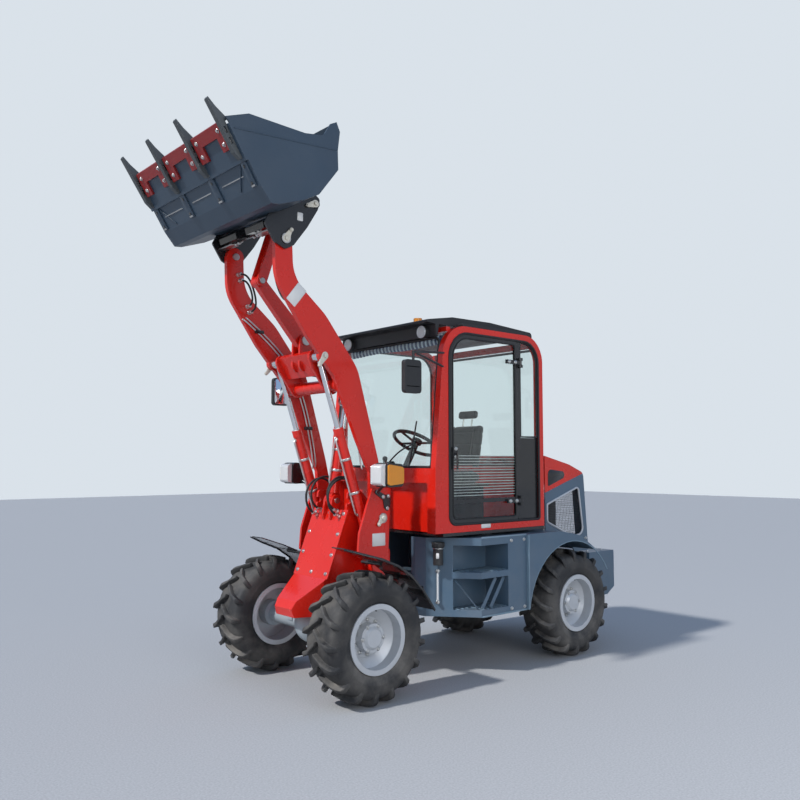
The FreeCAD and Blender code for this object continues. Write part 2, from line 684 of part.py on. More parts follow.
# Hoses, each a route of straight runs rounded by arcs as large as the runs allow.
def hose(route, radius):
    corners = [Vector(*point) for point in route]
    edges, radii, here = [], [], corners[0]
    for before, corner, after in zip(corners, corners[1:], corners[2:]):
        to_before, to_after = (before - corner).normalize(), (after - corner).normalize()
        half = to_before.getAngle(to_after) / 2
        reach = 0.45 * min(corner.distanceToPoint(before), corner.distanceToPoint(after))
        bend = reach * math.tan(half)
        first, last = corner + to_before * reach, corner + to_after * reach
        middle = corner + (to_before + to_after).normalize() * (bend / math.sin(half) - bend)
        edges += [Part.LineSegment(here, first).toShape(), Part.Arc(first, middle, last).toShape()]
        radii.append(round(bend))
        here = last
    edges.append(Part.LineSegment(here, corners[-1]).toShape())
    path = Part.Wire(edges)
    ring = Part.Wire([Part.makeCircle(radius, corners[0], corners[1] - corners[0])])
    tube = path.makePipeShell([ring], True, False)
    tube = Part.Solid(tube) if tube.ShapeType == "Shell" else tube
    print("hose", round(path.Length), "mm long, bend radii", radii,
          "volume ratio", round(abs(tube.Volume) / (math.pi * radius ** 2 * path.Length), 4))
    return tube


def turned_route(start, rows):
    """Side-view route: each row is a run's length and its angle above forward, in degrees."""
    points = [start]
    for run, angle in rows:
        x, z = points[-1]
        points.append((x + run * math.cos(math.radians(angle)), z + run * math.sin(math.radians(angle))))
    return points


# Tower hoses: from the nose over the deck plate in a loop, two on each side of the tilt cylinder.
nose_lean = math.degrees(math.atan2(nose_low[0] - nose_top[0], nose_top[1] - nose_low[1]))
tower_hoses = []
# (distance down the nose, y, runs as (length, angle) rows)
tower_hose_rows = [
    (16, 98, [(65, nose_lean), (80, 60), (90, 98), (90, 138), (90, 178), (90, 222), (110, 262), (88, 270)]),
    (52, 134, [(66, nose_lean), (84, 58), (100, 94), (96, 136), (90, 176), (88, 220), (118, 260), (94, 270)]),
]
for down, y, rows in tower_hose_rows:
    route = turned_route(along(nose_top, nose_low, down), rows)
    route[-1] = (route[-1][0], deck_plate[1])
    tower_hoses += both_sides(hose([(x, y, z) for x, z in route], tower_hose_radius))
save("tower_hoses", *tower_hoses)

# Arm hoses: loops on the inner faces of the arms, below the tips.
arm_hose_start = (1420, 2640)
arm_hose_way = (0.3285, 0.9445)
# (along the arm, in from its inner face) rows of each loop
arm_hose_rows = [
    [(0, 0), (0, 65), (49, 114), (139, 114), (188, 65), (188, 0)],
    [(-45, 0), (-45, 85), (19, 149), (168, 149), (232, 85), (232, 0)],
]
arm_hoses = []
for rows in arm_hose_rows:
    route = [(arm_hose_start[0] + arm_hose_way[0] * far, arm_in - inward,
              arm_hose_start[1] + arm_hose_way[1] * far) for far, inward in rows]
    arm_hoses += both_sides(hose(route, arm_hose_radius))
save("arm_hoses", *arm_hoses)

# Cab: a side ring on each side, joined by front and rear panels and cross bars.
ring_in = cab_half - ring_thick
ring_rows = [(cab_rear_x, floor_z), (cab_rear_x, cab_top_z, 205), (340, cab_top_z, 230),
             (cab_front_x, sill_z), (cab_front_x, floor_z)]
opening = [(opening_rear_x, opening_low_z, 20), (opening_rear_x, opening_high_z, 160),
           (door_front_x, opening_high_z, 190), (door_front_x, opening_low_z, 60)]
ring_hole = plate(opening, "xz", ring_in - 1, cab_half + 1)
recess_half = ring_in - 30
recess_x = 368
recess_top_z = 1385
skin = 10
front_skin = cab_front_x - 12
recess_roof_z = recess_top_z + skin
wall_out = ring_in + 1
cab_parts = both_sides(plate(ring_rows, "xz", ring_in, cab_half).cut(ring_hole))
cab_parts += both_sides(box(front_skin, cab_front_x, recess_half, wall_out, floor_z, sill_z))
cab_parts += both_sides(box(recess_x, cab_front_x, recess_half - 5, recess_half + 5, floor_z, recess_roof_z))
# (x0, x1, half width, z0, z1) rows of the panels and bars across the cab
panel_table = [
    (front_skin, cab_front_x, recess_half, recess_top_z, sill_z),
    (recess_x - skin, recess_x, recess_half + 5, floor_z, recess_roof_z),
    (recess_x - skin, cab_front_x, recess_half, recess_top_z, recess_roof_z),
    (cab_rear_x, cab_rear_x + 12, wall_out, floor_z, 1500),
    (cab_rear_x, cab_rear_x + 40, wall_out, 1470, 1500),
    (cab_rear_x + 40, cab_rear_x + 80, wall_out, 2440, 2490),
    (240, 280, wall_out, 2480, 2515),
]
for x0, x1, half, z0, z1 in panel_table:
    cab_parts.append(box(x0, x1, -half, half, z0, z1))
save("cab_frame", fuse(*cab_parts))

# Roof: a crowned cap over the rings with a visor that comes down to the windshield.
roof_low_z = cab_top_z + 0.5
roof_half = 555
cap_half = 612
roof_rows = [(-690, roof_low_z), (-690, 2566, 30), (-200, 2596), (200, 2592), (455, 2550, 12),
             (455, 2532), (372, 2524), (366, 2440), (352, 2440), (335, roof_low_z)]
cap_rows = [(-560, roof_low_z), (-560, 2548, 15), (150, 2548, 15), (150, roof_low_z)]
roof = fuse(plate(roof_rows, "xz", -roof_half, roof_half), plate(cap_rows, "xz", -cap_half, cap_half))
save("cab_roof", roof)

# Glass: windshield, right side, rear and the left rear quarter, each a flat pane.
shield_top_z = 2438
shield_foot_x = cab_front_x - 14
lean = (337 - shield_foot_x) / (2436 - sill_z)


def shield(z):
    """X of the windshield's outer face at a height."""
    return shield_foot_x + (z - sill_z) * lean


shield_rows = [(shield(sill_z), sill_z), (shield(shield_top_z), shield_top_z),
               (shield(shield_top_z) - glass, shield_top_z), (shield(sill_z) - glass, sill_z)]
windshield = plate(shield_rows, "xz", -ring_in, ring_in)
rear_pane = box(cab_rear_x + 3, cab_rear_x + 3 + glass, -ring_in, ring_in, 1500, 2440)
pane_y = cab_half - 20
right_pane = mirrored(plate(opening, "xz", pane_y, pane_y + glass))
quarter_low_z = 1720
quarter_front_x = -472
quarter_rows = [(opening_rear_x, quarter_low_z), (opening_rear_x, opening_high_z, 160),
                (quarter_front_x, opening_high_z), (quarter_front_x, quarter_low_z)]
save("cab_glass", windshield, rear_pane, right_pane, plate(quarter_rows, "xz", pane_y, pane_y + glass))

# Black parts of the left side: the post that carries the door and the panel behind it.
hinge_y = cab_half + 12
post_front_x = -443
post_rows = [(opening_rear_x, opening_low_z, 20), (opening_rear_x, quarter_low_z),
             (quarter_front_x + 1, quarter_low_z), (quarter_front_x + 1, opening_low_z)]
post_parts = [plate(post_rows, "xz", pane_y - 6, pane_y + 6),
              box(quarter_front_x, post_front_x, ring_in + 2, cab_half - 4, opening_low_z, opening_high_z)]
for z in hinge_levels:
    for low in (z - 38, z + 16):
        post_parts.append(box(quarter_front_x, -448, cab_half - 6, hinge_y + 14, low, low + 22))
        post_parts.append(pin_z(door_hinge_x, hinge_y, 14, low, low + 22))
    post_parts.append(pin_z(door_hinge_x, hinge_y, 6, z - 38, z + 38))
save("door_post", fuse(*post_parts))

# Door: rounded frame with a rail across, two hinge arms, a handle and its panes.
door_gap = 6
door_frame = 30
frame_rear_x, frame_front_x = post_front_x + door_gap, door_front_x - door_gap
frame_low_z, frame_high_z = opening_low_z + 7, opening_high_z - door_gap
door_rows = [(frame_rear_x, frame_low_z, 20), (frame_rear_x, frame_high_z, 25),
             (frame_front_x, frame_high_z, 184), (frame_front_x, frame_low_z, 56)]
pane_rows = [(frame_rear_x + door_frame, frame_low_z + door_frame, 15),
             (frame_rear_x + door_frame, frame_high_z - door_frame, 20),
             (frame_front_x - door_frame, frame_high_z - door_frame, 160),
             (frame_front_x - door_frame, frame_low_z + door_frame, 40)]
door_low_y, door_high_y = cab_half - 22, cab_half
door_parts = [plate(door_rows, "xz", door_low_y, door_high_y)
              .cut(plate(pane_rows, "xz", door_low_y - 1, door_high_y + 1))]
door_parts.append(box(-408, frame_front_x - door_frame + 1, door_low_y, door_high_y, *door_rail))
for z in hinge_levels:
    door_parts.append(box(door_hinge_x + 4, -300, cab_half - 1, cab_half + 18, z - 15, z + 15))
    door_parts.append(pin_z(door_hinge_x, hinge_y, 14, z - 15, z + 15))
door_parts.append(box(225, 275, door_high_y - 1, door_high_y + 14, 1560, 1640))
door_parts.append(bar((250, door_high_y + 30, 1480), (250, door_high_y + 30, 1600), 8))
door_parts.append(bar((250, door_high_y, 1590), (250, door_high_y + 30, 1590), 8))
hinge_holes = [pin_z(door_hinge_x, hinge_y, 6 + fit_gap, z - 20, z + 20) for z in hinge_levels]
save("door", cut(fuse(*door_parts), *hinge_holes))
door_pane = plate(pane_rows, "xz", door_low_y + 8, door_low_y + 8 + glass)
rail_room = box(cab_rear_x, cab_front_x, door_low_y - 1, door_high_y + 1, *door_rail)
save("door_glass", door_pane.cut(rail_room))

# Inside the cab: seat, console with the steering wheel and the levers.
seat_x = -300
pan_z = 1340
cushion_z = pan_z + 25
console_top_z = 1500
seat_base = fuse(box(seat_x - 190, seat_x + 190, -200, 200, floor_z, pan_z),
                 box(seat_x - 220, seat_x + 230, -230, 230, pan_z, cushion_z))
cushion_rows = [(seat_x - 200, cushion_z + 0.5), (seat_x - 200, cushion_z + 75, 30),
                (seat_x + 240, cushion_z + 105, 45), (seat_x + 240, cushion_z + 0.5, 20)]
back_rows = [(seat_x - 190, cushion_z + 76), (seat_x - 290, cushion_z + 595, 50),
             (seat_x - 190, cushion_z + 610, 50), (seat_x - 75, cushion_z + 87)]
seat_back = plate(back_rows, "xz", -225, 225)
save("seat", plate(cushion_rows, "xz", -235, 235).cut(seat_back), seat_back)
wheel_at = Vector(60, 0, console_top_z + 180)
wheel_lean = Vector(-0.5, 0, 0.866)
wheel_side = Vector(0.866, 0, 0.5)
column = bar((200, 0, console_top_z - 60), tuple(wheel_at), 26)
cab_floor = box(cab_rear_x, recess_x - skin, -cab_half + 4, cab_half - 4, floor_z - 24, floor_z)
console = box(170, recess_x - skin - 2, -180, 180, floor_z, console_top_z)
save("cab_floor", fuse(cab_floor, console, column))
spokes = []
for way in (AY, AY * -1, wheel_side):
    spokes.append(bar(tuple(wheel_at), tuple(wheel_at + way * 178), 9))
wheel_ring = Part.makeTorus(185, 14, wheel_at, wheel_lean)
wheel_hub = Part.makeCylinder(42, 30, wheel_at, wheel_lean)
save("steering_wheel", fuse(wheel_ring, wheel_hub, *spokes).cut(column))
levers = fuse(box(-40, 160, -430, -260, floor_z, 1330),
              bar((60, -345, 1325), (90, -345, 1560), 9), bar((0, -345, 1325), (10, -345, 1520), 9))
save("seat_base", seat_base, levers)
blind_radius = 30
blind_z = shield_top_z - 10
blind_half = ring_in - 30
blind_at = (shield(blind_z) - glass - blind_radius - 0.4, blind_z)
save("sun_blind", pin_y(blind_at, blind_radius, -blind_half, blind_half))

# Mirrors, lamps on the roof and the beacon.
mirror_y = cab_half + 175
mirror_arm = cab_half - 5
mirror_rows = [(742, 1985, 25), (742, 2205, 25), (888, 2205, 25), (888, 1985, 25)]
mirror = fuse(plate(mirror_rows, "xz", mirror_y - 17, mirror_y + 17),
              bar((350, mirror_arm, 2310), (800, mirror_y, 2262), 8),
              bar((358, mirror_arm, 2212), (800, mirror_y, 2262), 8),
              bar((800, mirror_y, 2268), (800, mirror_y, 2190), 9))
save("mirrors", *both_sides(mirror.cut(plate(ring_rows, "xz", ring_in, cab_half))))
roof_lamps = []
for y in (-439, 439):
    roof_lamps.append(Part.makeCylinder(46, 43, Vector(360, y, 2476), AX).cut(roof))
    roof_lamps.append(Part.makeCylinder(40, 5, Vector(403, y, 2476), AX))
roof_lamps.append(fuse(pin_z(95, 60, 42, 2588, 2612), pin_z(95, 60, 34, 2612, 2660)).cut(roof))
save("roof_lamps", *roof_lamps)

# Head lamps on brackets bolted to the tower.
lamp_low, lamp_high = 1370, 1520
lamp_in, lamp_out = 500, 620
bracket_rows = [(630, 1302, 12), (690, 1308), (765, 1345, 10), (775, 1318, 10), (700, 1270),
                (690, 1215, 12), (662, 1190, 10), (638, 1215, 12)]
housing_rows = [(735, lamp_low, 20), (735, lamp_high, 20), (880, lamp_high + 12, 25),
                (880, lamp_low - 4, 25)]
lens_rows = [(880.3, lamp_low + 2, 10), (880.3, lamp_high + 6, 10), (925, lamp_high - 12, 24),
             (925, lamp_low + 16, 24)]
amber_rows = [(745, lamp_low + 20, 20), (745, lamp_high - 20, 20), (878, lamp_high, 15),
              (878, lamp_low + 8, 15)]
lamp_foot, lamp_knee, lamp_end = (752, 370, 1325), (778, 445, 1362), (800, 520, 1400)
lamp_arm = fuse(plate(bracket_rows, "xz", tower_half + fit_gap, tower_half + 8),
                bar(lamp_foot, lamp_knee, 11), bar(lamp_knee, lamp_end, 11),
                Part.makeSphere(11, Vector(*lamp_knee)))
save("lamp_housings", *both_sides(fuse(plate(housing_rows, "xz", lamp_in, lamp_out), lamp_arm)))
save("lamp_lenses", *both_sides(plate(lens_rows, "xz", lamp_in + 5, lamp_out - 5)),
     *both_sides(plate(amber_rows, "xz", lamp_out + 0.3, lamp_out + 20)))

# Side boxes under the cab: tank on the left, locker on the right, with step recesses.
slope_foot, slope_end = (63, side_out), (323, 394)
box_rows = [(-433, side_out), slope_foot, slope_end, (345, 300), (345, 262), (-90, 262), (-90, 239),
            (-433, 239)]
step_in = side_out - 230
step_rear_x, step_front_x = -220, 195
side_box = cut(plate(box_rows, "xy", box_floor_z, deck_z),
               box(-200, 400, 200, 372, steer_z - 48, steer_z + 48),
               box(step_rear_x, step_front_x, step_in, side_out + 1, 745, 935),
               box(step_rear_x, step_front_x, step_in, side_out + 1, 480, 700))
save("side_boxes", *both_sides(side_box))
# The filler neck stands a step out from the middle of the sloping face.
filler_step = 42
filler_x, filler_y = 262 + 0.763 * filler_step, 466 + 0.648 * filler_step
filler = fuse(pin_z(filler_x, filler_y, 36, 800, 925), pin_z(filler_x, filler_y, 44, 925, 962))
save("filler", filler.cut(plate(box_rows, "xy", 0, 2000)))

# Rear fenders follow the arch over the rear tyres.
arch_rows = [(-433.5, box_floor_z), (-433.5, deck_z), (-839, deck_z), (-1080, 945, 250),
             (-1272, 832), (-1265, 800), (-800, 500)]
rear_fender = plate(arch_rows, "xz", 460, side_out + 8).cut(pin_y(arch, arch_radius, 400, 800))
save("rear_fenders", *both_sides(rear_fender))

# Counterweight with a pocket and bores for a towing pin.
weight_rows = [(weight_front_x, weight_top), (weight_front_x, 383), (-1730, 383), (tail_x, 445),
               (tail_x, weight_top, 8)]
pocket = box(tail_x - 1, tail_x + 95, -65, 65, 520, 600)
tow_bore = pin_z(tail_x + 45, 0, tow_pin_radius, tow_bore_low, weight_top + 1)
save("counterweight", cut(plate(weight_rows, "xz", -tail_half, tail_half), pocket, tow_bore))

# Engine block, plain, between the rails.
save("engine", box(-1430, -1000, -185, 185, rail_top_z + fit_gap, engine_top_z))

# Hood: a red top over grey sides with screened openings; it tips up at its rear.
hood_rows = [(-1530, hood_low_z), (-1345, hood_low_z), (-1290, 848), (-962, 848), (-962, 1584),
             (-1283, 1512, 250), (-1480, 1440, 60), (-1530, 857)]
hood_core = [(-900, 700), (-900, 1576), (-1281, 1503, 250), (-1470, 1434, 55), (-1521, 857),
             (-1521, 700)]
hood_in = hood_half - hood_skin
hood_shell = plate(hood_rows, "xz", -hood_half, hood_half).cut(plate(hood_core, "xz", -hood_in, hood_in))
divide = [(-900, 1262), (-1465, 1432), (-1600, 1432), (-1600, 1700), (-900, 1700)]
upper = plate(divide, "xz", -500, 500)
window_rows = [(-985, 1185, 15), (-1406, 1322, 30), (-1466, 920, 60), (-1310, 905, 90), (-985, 1040, 30)]
side_window = plate(window_rows, "xz", -500, 500)
tail_window = (900, 1330)
rear_window = box(-1600, -1470, -330, 330, *tail_window)
save("hood_sides", cut(hood_shell.cut(upper), side_window, rear_window))
lug_rows = [(-975, 1577), (-975, 1545, 14), (-935, 1530, 18), (-935, 1577)]
above_skin = plate([(-900, 1577.5), (-1283, 1504.5), (-1283, 1700), (-900, 1700)], "xz", -500, 500)
hood_lugs = both_sides(plate(lug_rows, "xz", 320, 334).cut(above_skin))
hood_top = fuse(hood_shell.common(upper), *hood_lugs)
save("hood_top", hood_top.cut(pin_y(hood_hinge, hood_pin_radius + fit_gap, -400, 400)))

# Screens just inside the hood's three openings.
screens = side_window.common(fuse(*both_sides(box(-1500, -900, hood_half - 8, hood_half - 4, 800, 1500))))


def tail_skin_x(z, inward):
    """X at a step inside the hood's rear face, which leans forward with height."""
    return -1521 + inward + (z - 857) * 51 / 577


low_z, high_z = tail_window
tail_rows = [(tail_skin_x(low_z, 0), low_z), (tail_skin_x(high_z, 0), high_z),
             (tail_skin_x(high_z, 6), high_z), (tail_skin_x(low_z, 6), low_z)]
save("hood_grilles", *screens.Solids, plate(tail_rows, "xz", -330, 330))
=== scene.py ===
import math

import bmesh
import bpy
from mathutils import Matrix, Vector


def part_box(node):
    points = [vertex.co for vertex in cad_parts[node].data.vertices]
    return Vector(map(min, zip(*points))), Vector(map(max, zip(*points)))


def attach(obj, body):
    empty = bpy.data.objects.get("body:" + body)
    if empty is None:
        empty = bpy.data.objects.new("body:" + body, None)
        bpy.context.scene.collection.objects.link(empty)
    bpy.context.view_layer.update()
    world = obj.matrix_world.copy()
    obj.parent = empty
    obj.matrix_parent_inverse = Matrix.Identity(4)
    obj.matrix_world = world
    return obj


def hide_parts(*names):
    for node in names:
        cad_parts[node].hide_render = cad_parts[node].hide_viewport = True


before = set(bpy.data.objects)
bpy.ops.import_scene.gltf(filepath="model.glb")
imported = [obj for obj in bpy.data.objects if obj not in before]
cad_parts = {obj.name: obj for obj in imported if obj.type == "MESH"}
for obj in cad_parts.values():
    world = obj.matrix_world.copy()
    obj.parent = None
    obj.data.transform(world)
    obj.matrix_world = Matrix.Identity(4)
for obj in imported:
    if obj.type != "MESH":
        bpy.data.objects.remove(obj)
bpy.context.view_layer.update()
bpy.ops.object.select_all(action="DESELECT")


# Camera, floor and light. The camera stands 1.5 m up, 6.4 m out from the left front wheel,
# and looks slightly up. The sun stands high ahead of the machine; the sky fills its left side.
def middle(node):
    low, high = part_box(node)
    return (low + high) / 2


# The machine is dimensioned from midway between its axles, along X.
mid_x = (middle("rim_front_left").x + middle("rim_rear_left").x) / 2


def spot(x, y, z):
    """A point dimensioned from midway between the axles, in the frame's metres."""
    return Vector((mid_x + x, y, z))


camera = bpy.data.objects.new("camera", bpy.data.cameras.new("camera"))
bpy.context.collection.objects.link(camera)
camera.data.sensor_width = 36
camera.data.lens = 36.5
camera.location = spot(4.337, 4.756, 1.5435)
camera.rotation_euler = (math.radians(94.28), 0, math.radians(139.18))
bpy.context.scene.camera = camera
bpy.context.scene.view_settings.view_transform = "Standard"


def put(tree, kind, settings=(), **sockets):
    """A shader node: settings are its own fields; sockets take a value or another node's socket."""
    made = tree.nodes.new("ShaderNode" + kind)
    for name, value in dict(settings).items():
        setattr(made, name, value)
    for name, value in sockets.items():
        lettered = name in ("A", "B", "C")
        socket = made.inputs["ABC".index(name)] if lettered else made.inputs[name.replace("_", " ")]
        if isinstance(value, bpy.types.NodeSocket):
            tree.links.new(value, socket)
        else:
            socket.default_value = value
    return made


def ranged(tree, value, low, high, to_low, to_high):
    """Maps a value's range onto another, held at its ends."""
    return put(tree, "MapRange", Value=value, From_Min=low, From_Max=high, To_Min=to_low, To_Max=to_high)


def times(tree, a, b):
    return put(tree, "Math", {"operation": "MULTIPLY"}, A=a, B=b)


def noise(tree, at, scale, detail, roughness=0.5):
    return put(tree, "TexNoise", Vector=at, Scale=scale, Detail=detail, Roughness=roughness)


def lamp(name, kind, at, toward, power, size):
    light = bpy.data.lights.new(name, kind)
    light.energy = power
    if kind == "SUN":
        light.angle = size
    else:
        light.size = size
    made = bpy.data.objects.new(name, light)
    bpy.context.collection.objects.link(made)
    made.location = at
    made.rotation_euler = (Vector(toward) - Vector(at)).to_track_quat("-Z", "Y").to_euler()


lamp("sun", "SUN", (6.0, -0.6, 7.0), (0, 0, 1), 3.1, math.radians(2.5))
lamp("side_fill", "AREA", (2.0, 7.5, 3.6), (0, 0, 1.5), 190, 5)

sky = bpy.data.worlds.new("sky")
sky.use_nodes = True
bpy.context.scene.world = sky
dome = sky.node_tree.nodes["Background"]
path = put(sky.node_tree, "LightPath")
seen = put(sky.node_tree, "Math", {"operation": "MAXIMUM"}, A=path.outputs["Is Camera Ray"],
           B=path.outputs["Is Transmission Ray"])
plain = put(sky.node_tree, "Background", Color=(0.70, 0.76, 0.82, 1), Strength=1)
way = put(sky.node_tree, "SeparateXYZ", Vector=put(sky.node_tree, "TexCoord").outputs["Generated"])
rise = ranged(sky.node_tree, way.outputs["Z"], -0.1, 0.6, 0.0, 1.0)
tint = put(sky.node_tree, "MixRGB", Fac=rise.outputs[0], Color1=(0.80, 0.80, 0.78, 1),
           Color2=(0.34, 0.50, 0.80, 1))
sky.node_tree.links.new(tint.outputs[0], dome.inputs["Color"])
dome.inputs["Strength"].default_value = 0.72
blend = put(sky.node_tree, "MixShader", Fac=seen.outputs[0])
sky.node_tree.links.new(dome.outputs[0], blend.inputs[1])
sky.node_tree.links.new(plain.outputs[0], blend.inputs[2])
sky.node_tree.links.new(blend.outputs[0], sky.node_tree.nodes["World Output"].inputs["Surface"])

bpy.ops.mesh.primitive_plane_add(size=60, location=(0, 0, 0))
floor = bpy.context.object
floor.name = "floor"
concrete = bpy.data.materials.new("pale_concrete")
concrete.use_nodes = True
tree = concrete.node_tree
speck = put(tree, "TexNoise", Vector=put(tree, "TexCoord").outputs["Object"], Scale=90.0, Detail=6.0)
tone = ranged(tree, speck.outputs["Fac"], 0.3, 0.7, 0.34, 0.44)
tree.links.new(tone.outputs[0], tree.nodes["Principled BSDF"].inputs["Base Color"])
tree.nodes["Principled BSDF"].inputs["Roughness"].default_value = 0.85
floor.data.materials.append(concrete)


# Wheels: a bar-lug tyre on a deep silver rim. The carcass is spun from one profile; each lug is
# a bent bar that runs from the tread's middle out over the shoulder, with rounded edges.
def effect(name, inputs, outputs):
    """An empty node group with named sockets, and its two end nodes."""
    group = bpy.data.node_groups.new(name, "ShaderNodeTree")
    kinds = {"colour": "NodeSocketColor", "value": "NodeSocketFloat", "vector": "NodeSocketVector"}
    for side, rows in (("INPUT", inputs), ("OUTPUT", outputs)):
        for label, kind in rows:
            group.interface.new_socket(label, in_out=side, socket_type=kinds[kind])
    return group, group.nodes.new("NodeGroupInput").outputs, group.nodes.new("NodeGroupOutput").inputs


# Every painted, moulded or plated surface has this on it: broad tone changes, bare chips on the
# edges, and dust that gathers low down and on top.
weathering, given, result = effect(
    "weathering",
    [("Colour", "colour"), ("Under", "colour"), ("Wear", "value"), ("Dust", "value"), ("Gloss", "value"),
     ("Grain", "value"), ("Grain Scale", "value")],
    [("Colour", "colour"), ("Roughness", "value"), ("Normal", "vector")])
here = put(weathering, "TexCoord").outputs["Object"]
broad = noise(weathering, here, 1.6, 3.0)
fine = noise(weathering, here, 34.0, 6.0, 0.65)
patch = noise(weathering, here, 5.0, 7.0, 0.6)
shade = ranged(weathering, broad.outputs["Fac"], 0.3, 0.7, 0.92, 1.05)
toned = put(weathering, "MixRGB", {"blend_type": "MULTIPLY"}, Fac=1.0, Color1=given["Colour"],
            Color2=shade.outputs[0])
rounded_way = put(weathering, "Bevel", {"samples": 4}, Radius=0.0045)
facing = put(weathering, "NewGeometry")
corner = put(weathering, "VectorMath", {"operation": "DOT_PRODUCT"}, A=rounded_way.outputs[0],
             B=facing.outputs["Normal"])
edge = ranged(weathering, corner.outputs["Value"], 0.985, 0.88, 0.0, 1.0)
chips = ranged(weathering, fine.outputs["Fac"], 0.54, 0.62, 0.0, 1.0)
bare = times(weathering, edge.outputs[0], chips.outputs[0])
bare = times(weathering, bare.outputs[0], given["Wear"])
worn = put(weathering, "MixRGB", Fac=bare.outputs[0], Color1=toned.outputs[0], Color2=given["Under"])
height = put(weathering, "SeparateXYZ", Vector=here)
low_down = ranged(weathering, height.outputs["Z"], 0.0, 1.1, 1.0, 0.12)
upward = put(weathering, "SeparateXYZ", Vector=facing.outputs["Normal"])
lying = ranged(weathering, upward.outputs["Z"], -0.5, 1.0, 0.2, 1.0)
cloud = ranged(weathering, patch.outputs["Fac"], 0.38, 0.72, 0.0, 1.0)
dust = times(weathering, low_down.outputs[0], lying.outputs[0])
dust = times(weathering, dust.outputs[0], cloud.outputs[0])
dust = times(weathering, dust.outputs[0], given["Dust"])
dusty = put(weathering, "MixRGB", Fac=dust.outputs[0], Color1=worn.outputs[0], Color2=(0.33, 0.30, 0.26, 1))
matt = ranged(weathering, patch.outputs["Fac"], 0.3, 0.7, -0.04, 0.06)
matt = put(weathering, "Math", {"operation": "ADD"}, A=matt.outputs[0], B=given["Gloss"])
matt = put(weathering, "Math", {"operation": "MULTIPLY_ADD", "use_clamp": True}, A=dust.outputs[0], B=0.5,
           C=matt.outputs[0])
grain = noise(weathering, here, given["Grain Scale"], 2.0)
bump = put(weathering, "Bump", Strength=given["Grain"], Distance=0.001, Height=grain.outputs["Fac"],
           Normal=rounded_way.outputs[0])
for label, socket in (("Colour", dusty.outputs[0]), ("Roughness", matt.outputs[0]),
                      ("Normal", bump.outputs[0])):
    weathering.links.new(socket, result[label])


def shaded(name):
    """A new material: its node tree and its plain shader."""
    material = bpy.data.materials.new(name)
    material.use_nodes = True
    return material, material.node_tree, material.node_tree.nodes["Principled BSDF"]


def coated(name, colour, gloss=0.3, coat=0.0, metal=0.0, wear=0.3, dust=0.3, under=(0.25, 0.25, 0.26),
           grain=0.12, grain_scale=160.0):
    """A painted, moulded or plated surface."""
    material, tree, shader = shaded(name)
    shader.inputs["Metallic"].default_value = metal
    shader.inputs["Coat Weight"].default_value = coat
    shader.inputs["Coat Roughness"].default_value = 0.06
    group = put(tree, "Group", {"node_tree": weathering}, Colour=(*colour, 1), Under=(*under, 1), Wear=wear,
                Dust=dust, Gloss=gloss, Grain=grain, Grain_Scale=grain_scale)
    tree.links.new(group.outputs["Colour"], shader.inputs["Base Color"])
    tree.links.new(group.outputs["Roughness"], shader.inputs["Roughness"])
    tree.links.new(group.outputs["Normal"], shader.inputs["Normal"])
    return material


silver = coated("silver_enamel", (0.56, 0.58, 0.60), gloss=0.32, coat=0.3, metal=0.25, wear=0.3, dust=0.45)


def finish(material, *names):
    """Gives carried-over solids their surface."""
    for name in names:
        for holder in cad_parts[name].material_slots:
            holder.material = material


finish(silver, "rim_front_left", "rim_front_right", "rim_rear_left", "rim_rear_right")


def from_faces(name, points, faces):
    mesh = bpy.data.meshes.new(name)
    mesh.from_pydata([Vector(p) for p in points], [], faces)
    piece = bpy.data.objects.new(name, mesh)
    bpy.context.collection.objects.link(piece)
    return piece


def spun(name, profile, steps):
    """A ring about the Y axis from a closed profile of (y, radius) rows."""
    points, faces, count = [], [], len(profile)
    for step in range(steps):
        turn = 2 * math.pi * step / steps
        points += [(r * math.sin(turn), y, r * math.cos(turn)) for y, r in profile]
    for step in range(steps):
        near, far = step * count, (step + 1) % steps * count
        for i in range(count):
            k = (i + 1) % count
            faces.append((near + i, near + k, far + k, far + i))
    return from_faces(name, points, faces)


def outward(piece):
    """Turns every face outward."""
    bulk = bmesh.new()
    bulk.from_mesh(piece.data)
    bmesh.ops.recalc_face_normals(bulk, faces=bulk.faces)
    bulk.to_mesh(piece.data)
    bulk.free()
    return piece


side_profile = [(0.1228, 0.199), (0.1230, 0.222), (0.128, 0.230), (0.134, 0.233), (0.136, 0.240),
                (0.140, 0.246), (0.1475, 0.275), (0.1492, 0.279), (0.1488, 0.285), (0.150, 0.305),
                (0.148, 0.330), (0.141, 0.352), (0.128, 0.366), (0.105, 0.374), (0.060, 0.3785),
                (0.0, 0.380)]
profile = side_profile + [(-y, r) for y, r in side_profile[-2::-1]]


def smooth(piece, angle=40):
    """Shades the faces smoothly between the sharp edges."""
    piece.select_set(True)
    bpy.context.view_layer.objects.active = piece
    bpy.ops.object.shade_smooth_by_angle(angle=math.radians(angle))
    piece.select_set(False)
    return piece


carcass = smooth(outward(spun("carcass", profile, 96)), 60)
# (along the tread, half width, y and radius at the root, y and radius at the top)
lug_rows = [(0.0, 0.016, -0.012, 0.372, -0.012, 0.4135), (0.030, 0.016, 0.030, 0.372, 0.030, 0.4145),
            (0.058, 0.017, 0.064, 0.371, 0.064, 0.4140), (0.078, 0.019, 0.105, 0.366, 0.108, 0.4115),
            (0.090, 0.021, 0.128, 0.356, 0.137, 0.4020), (0.097, 0.021, 0.139, 0.340, 0.1495, 0.3800),
            (0.101, 0.018, 0.143, 0.318, 0.1495, 0.3350)]


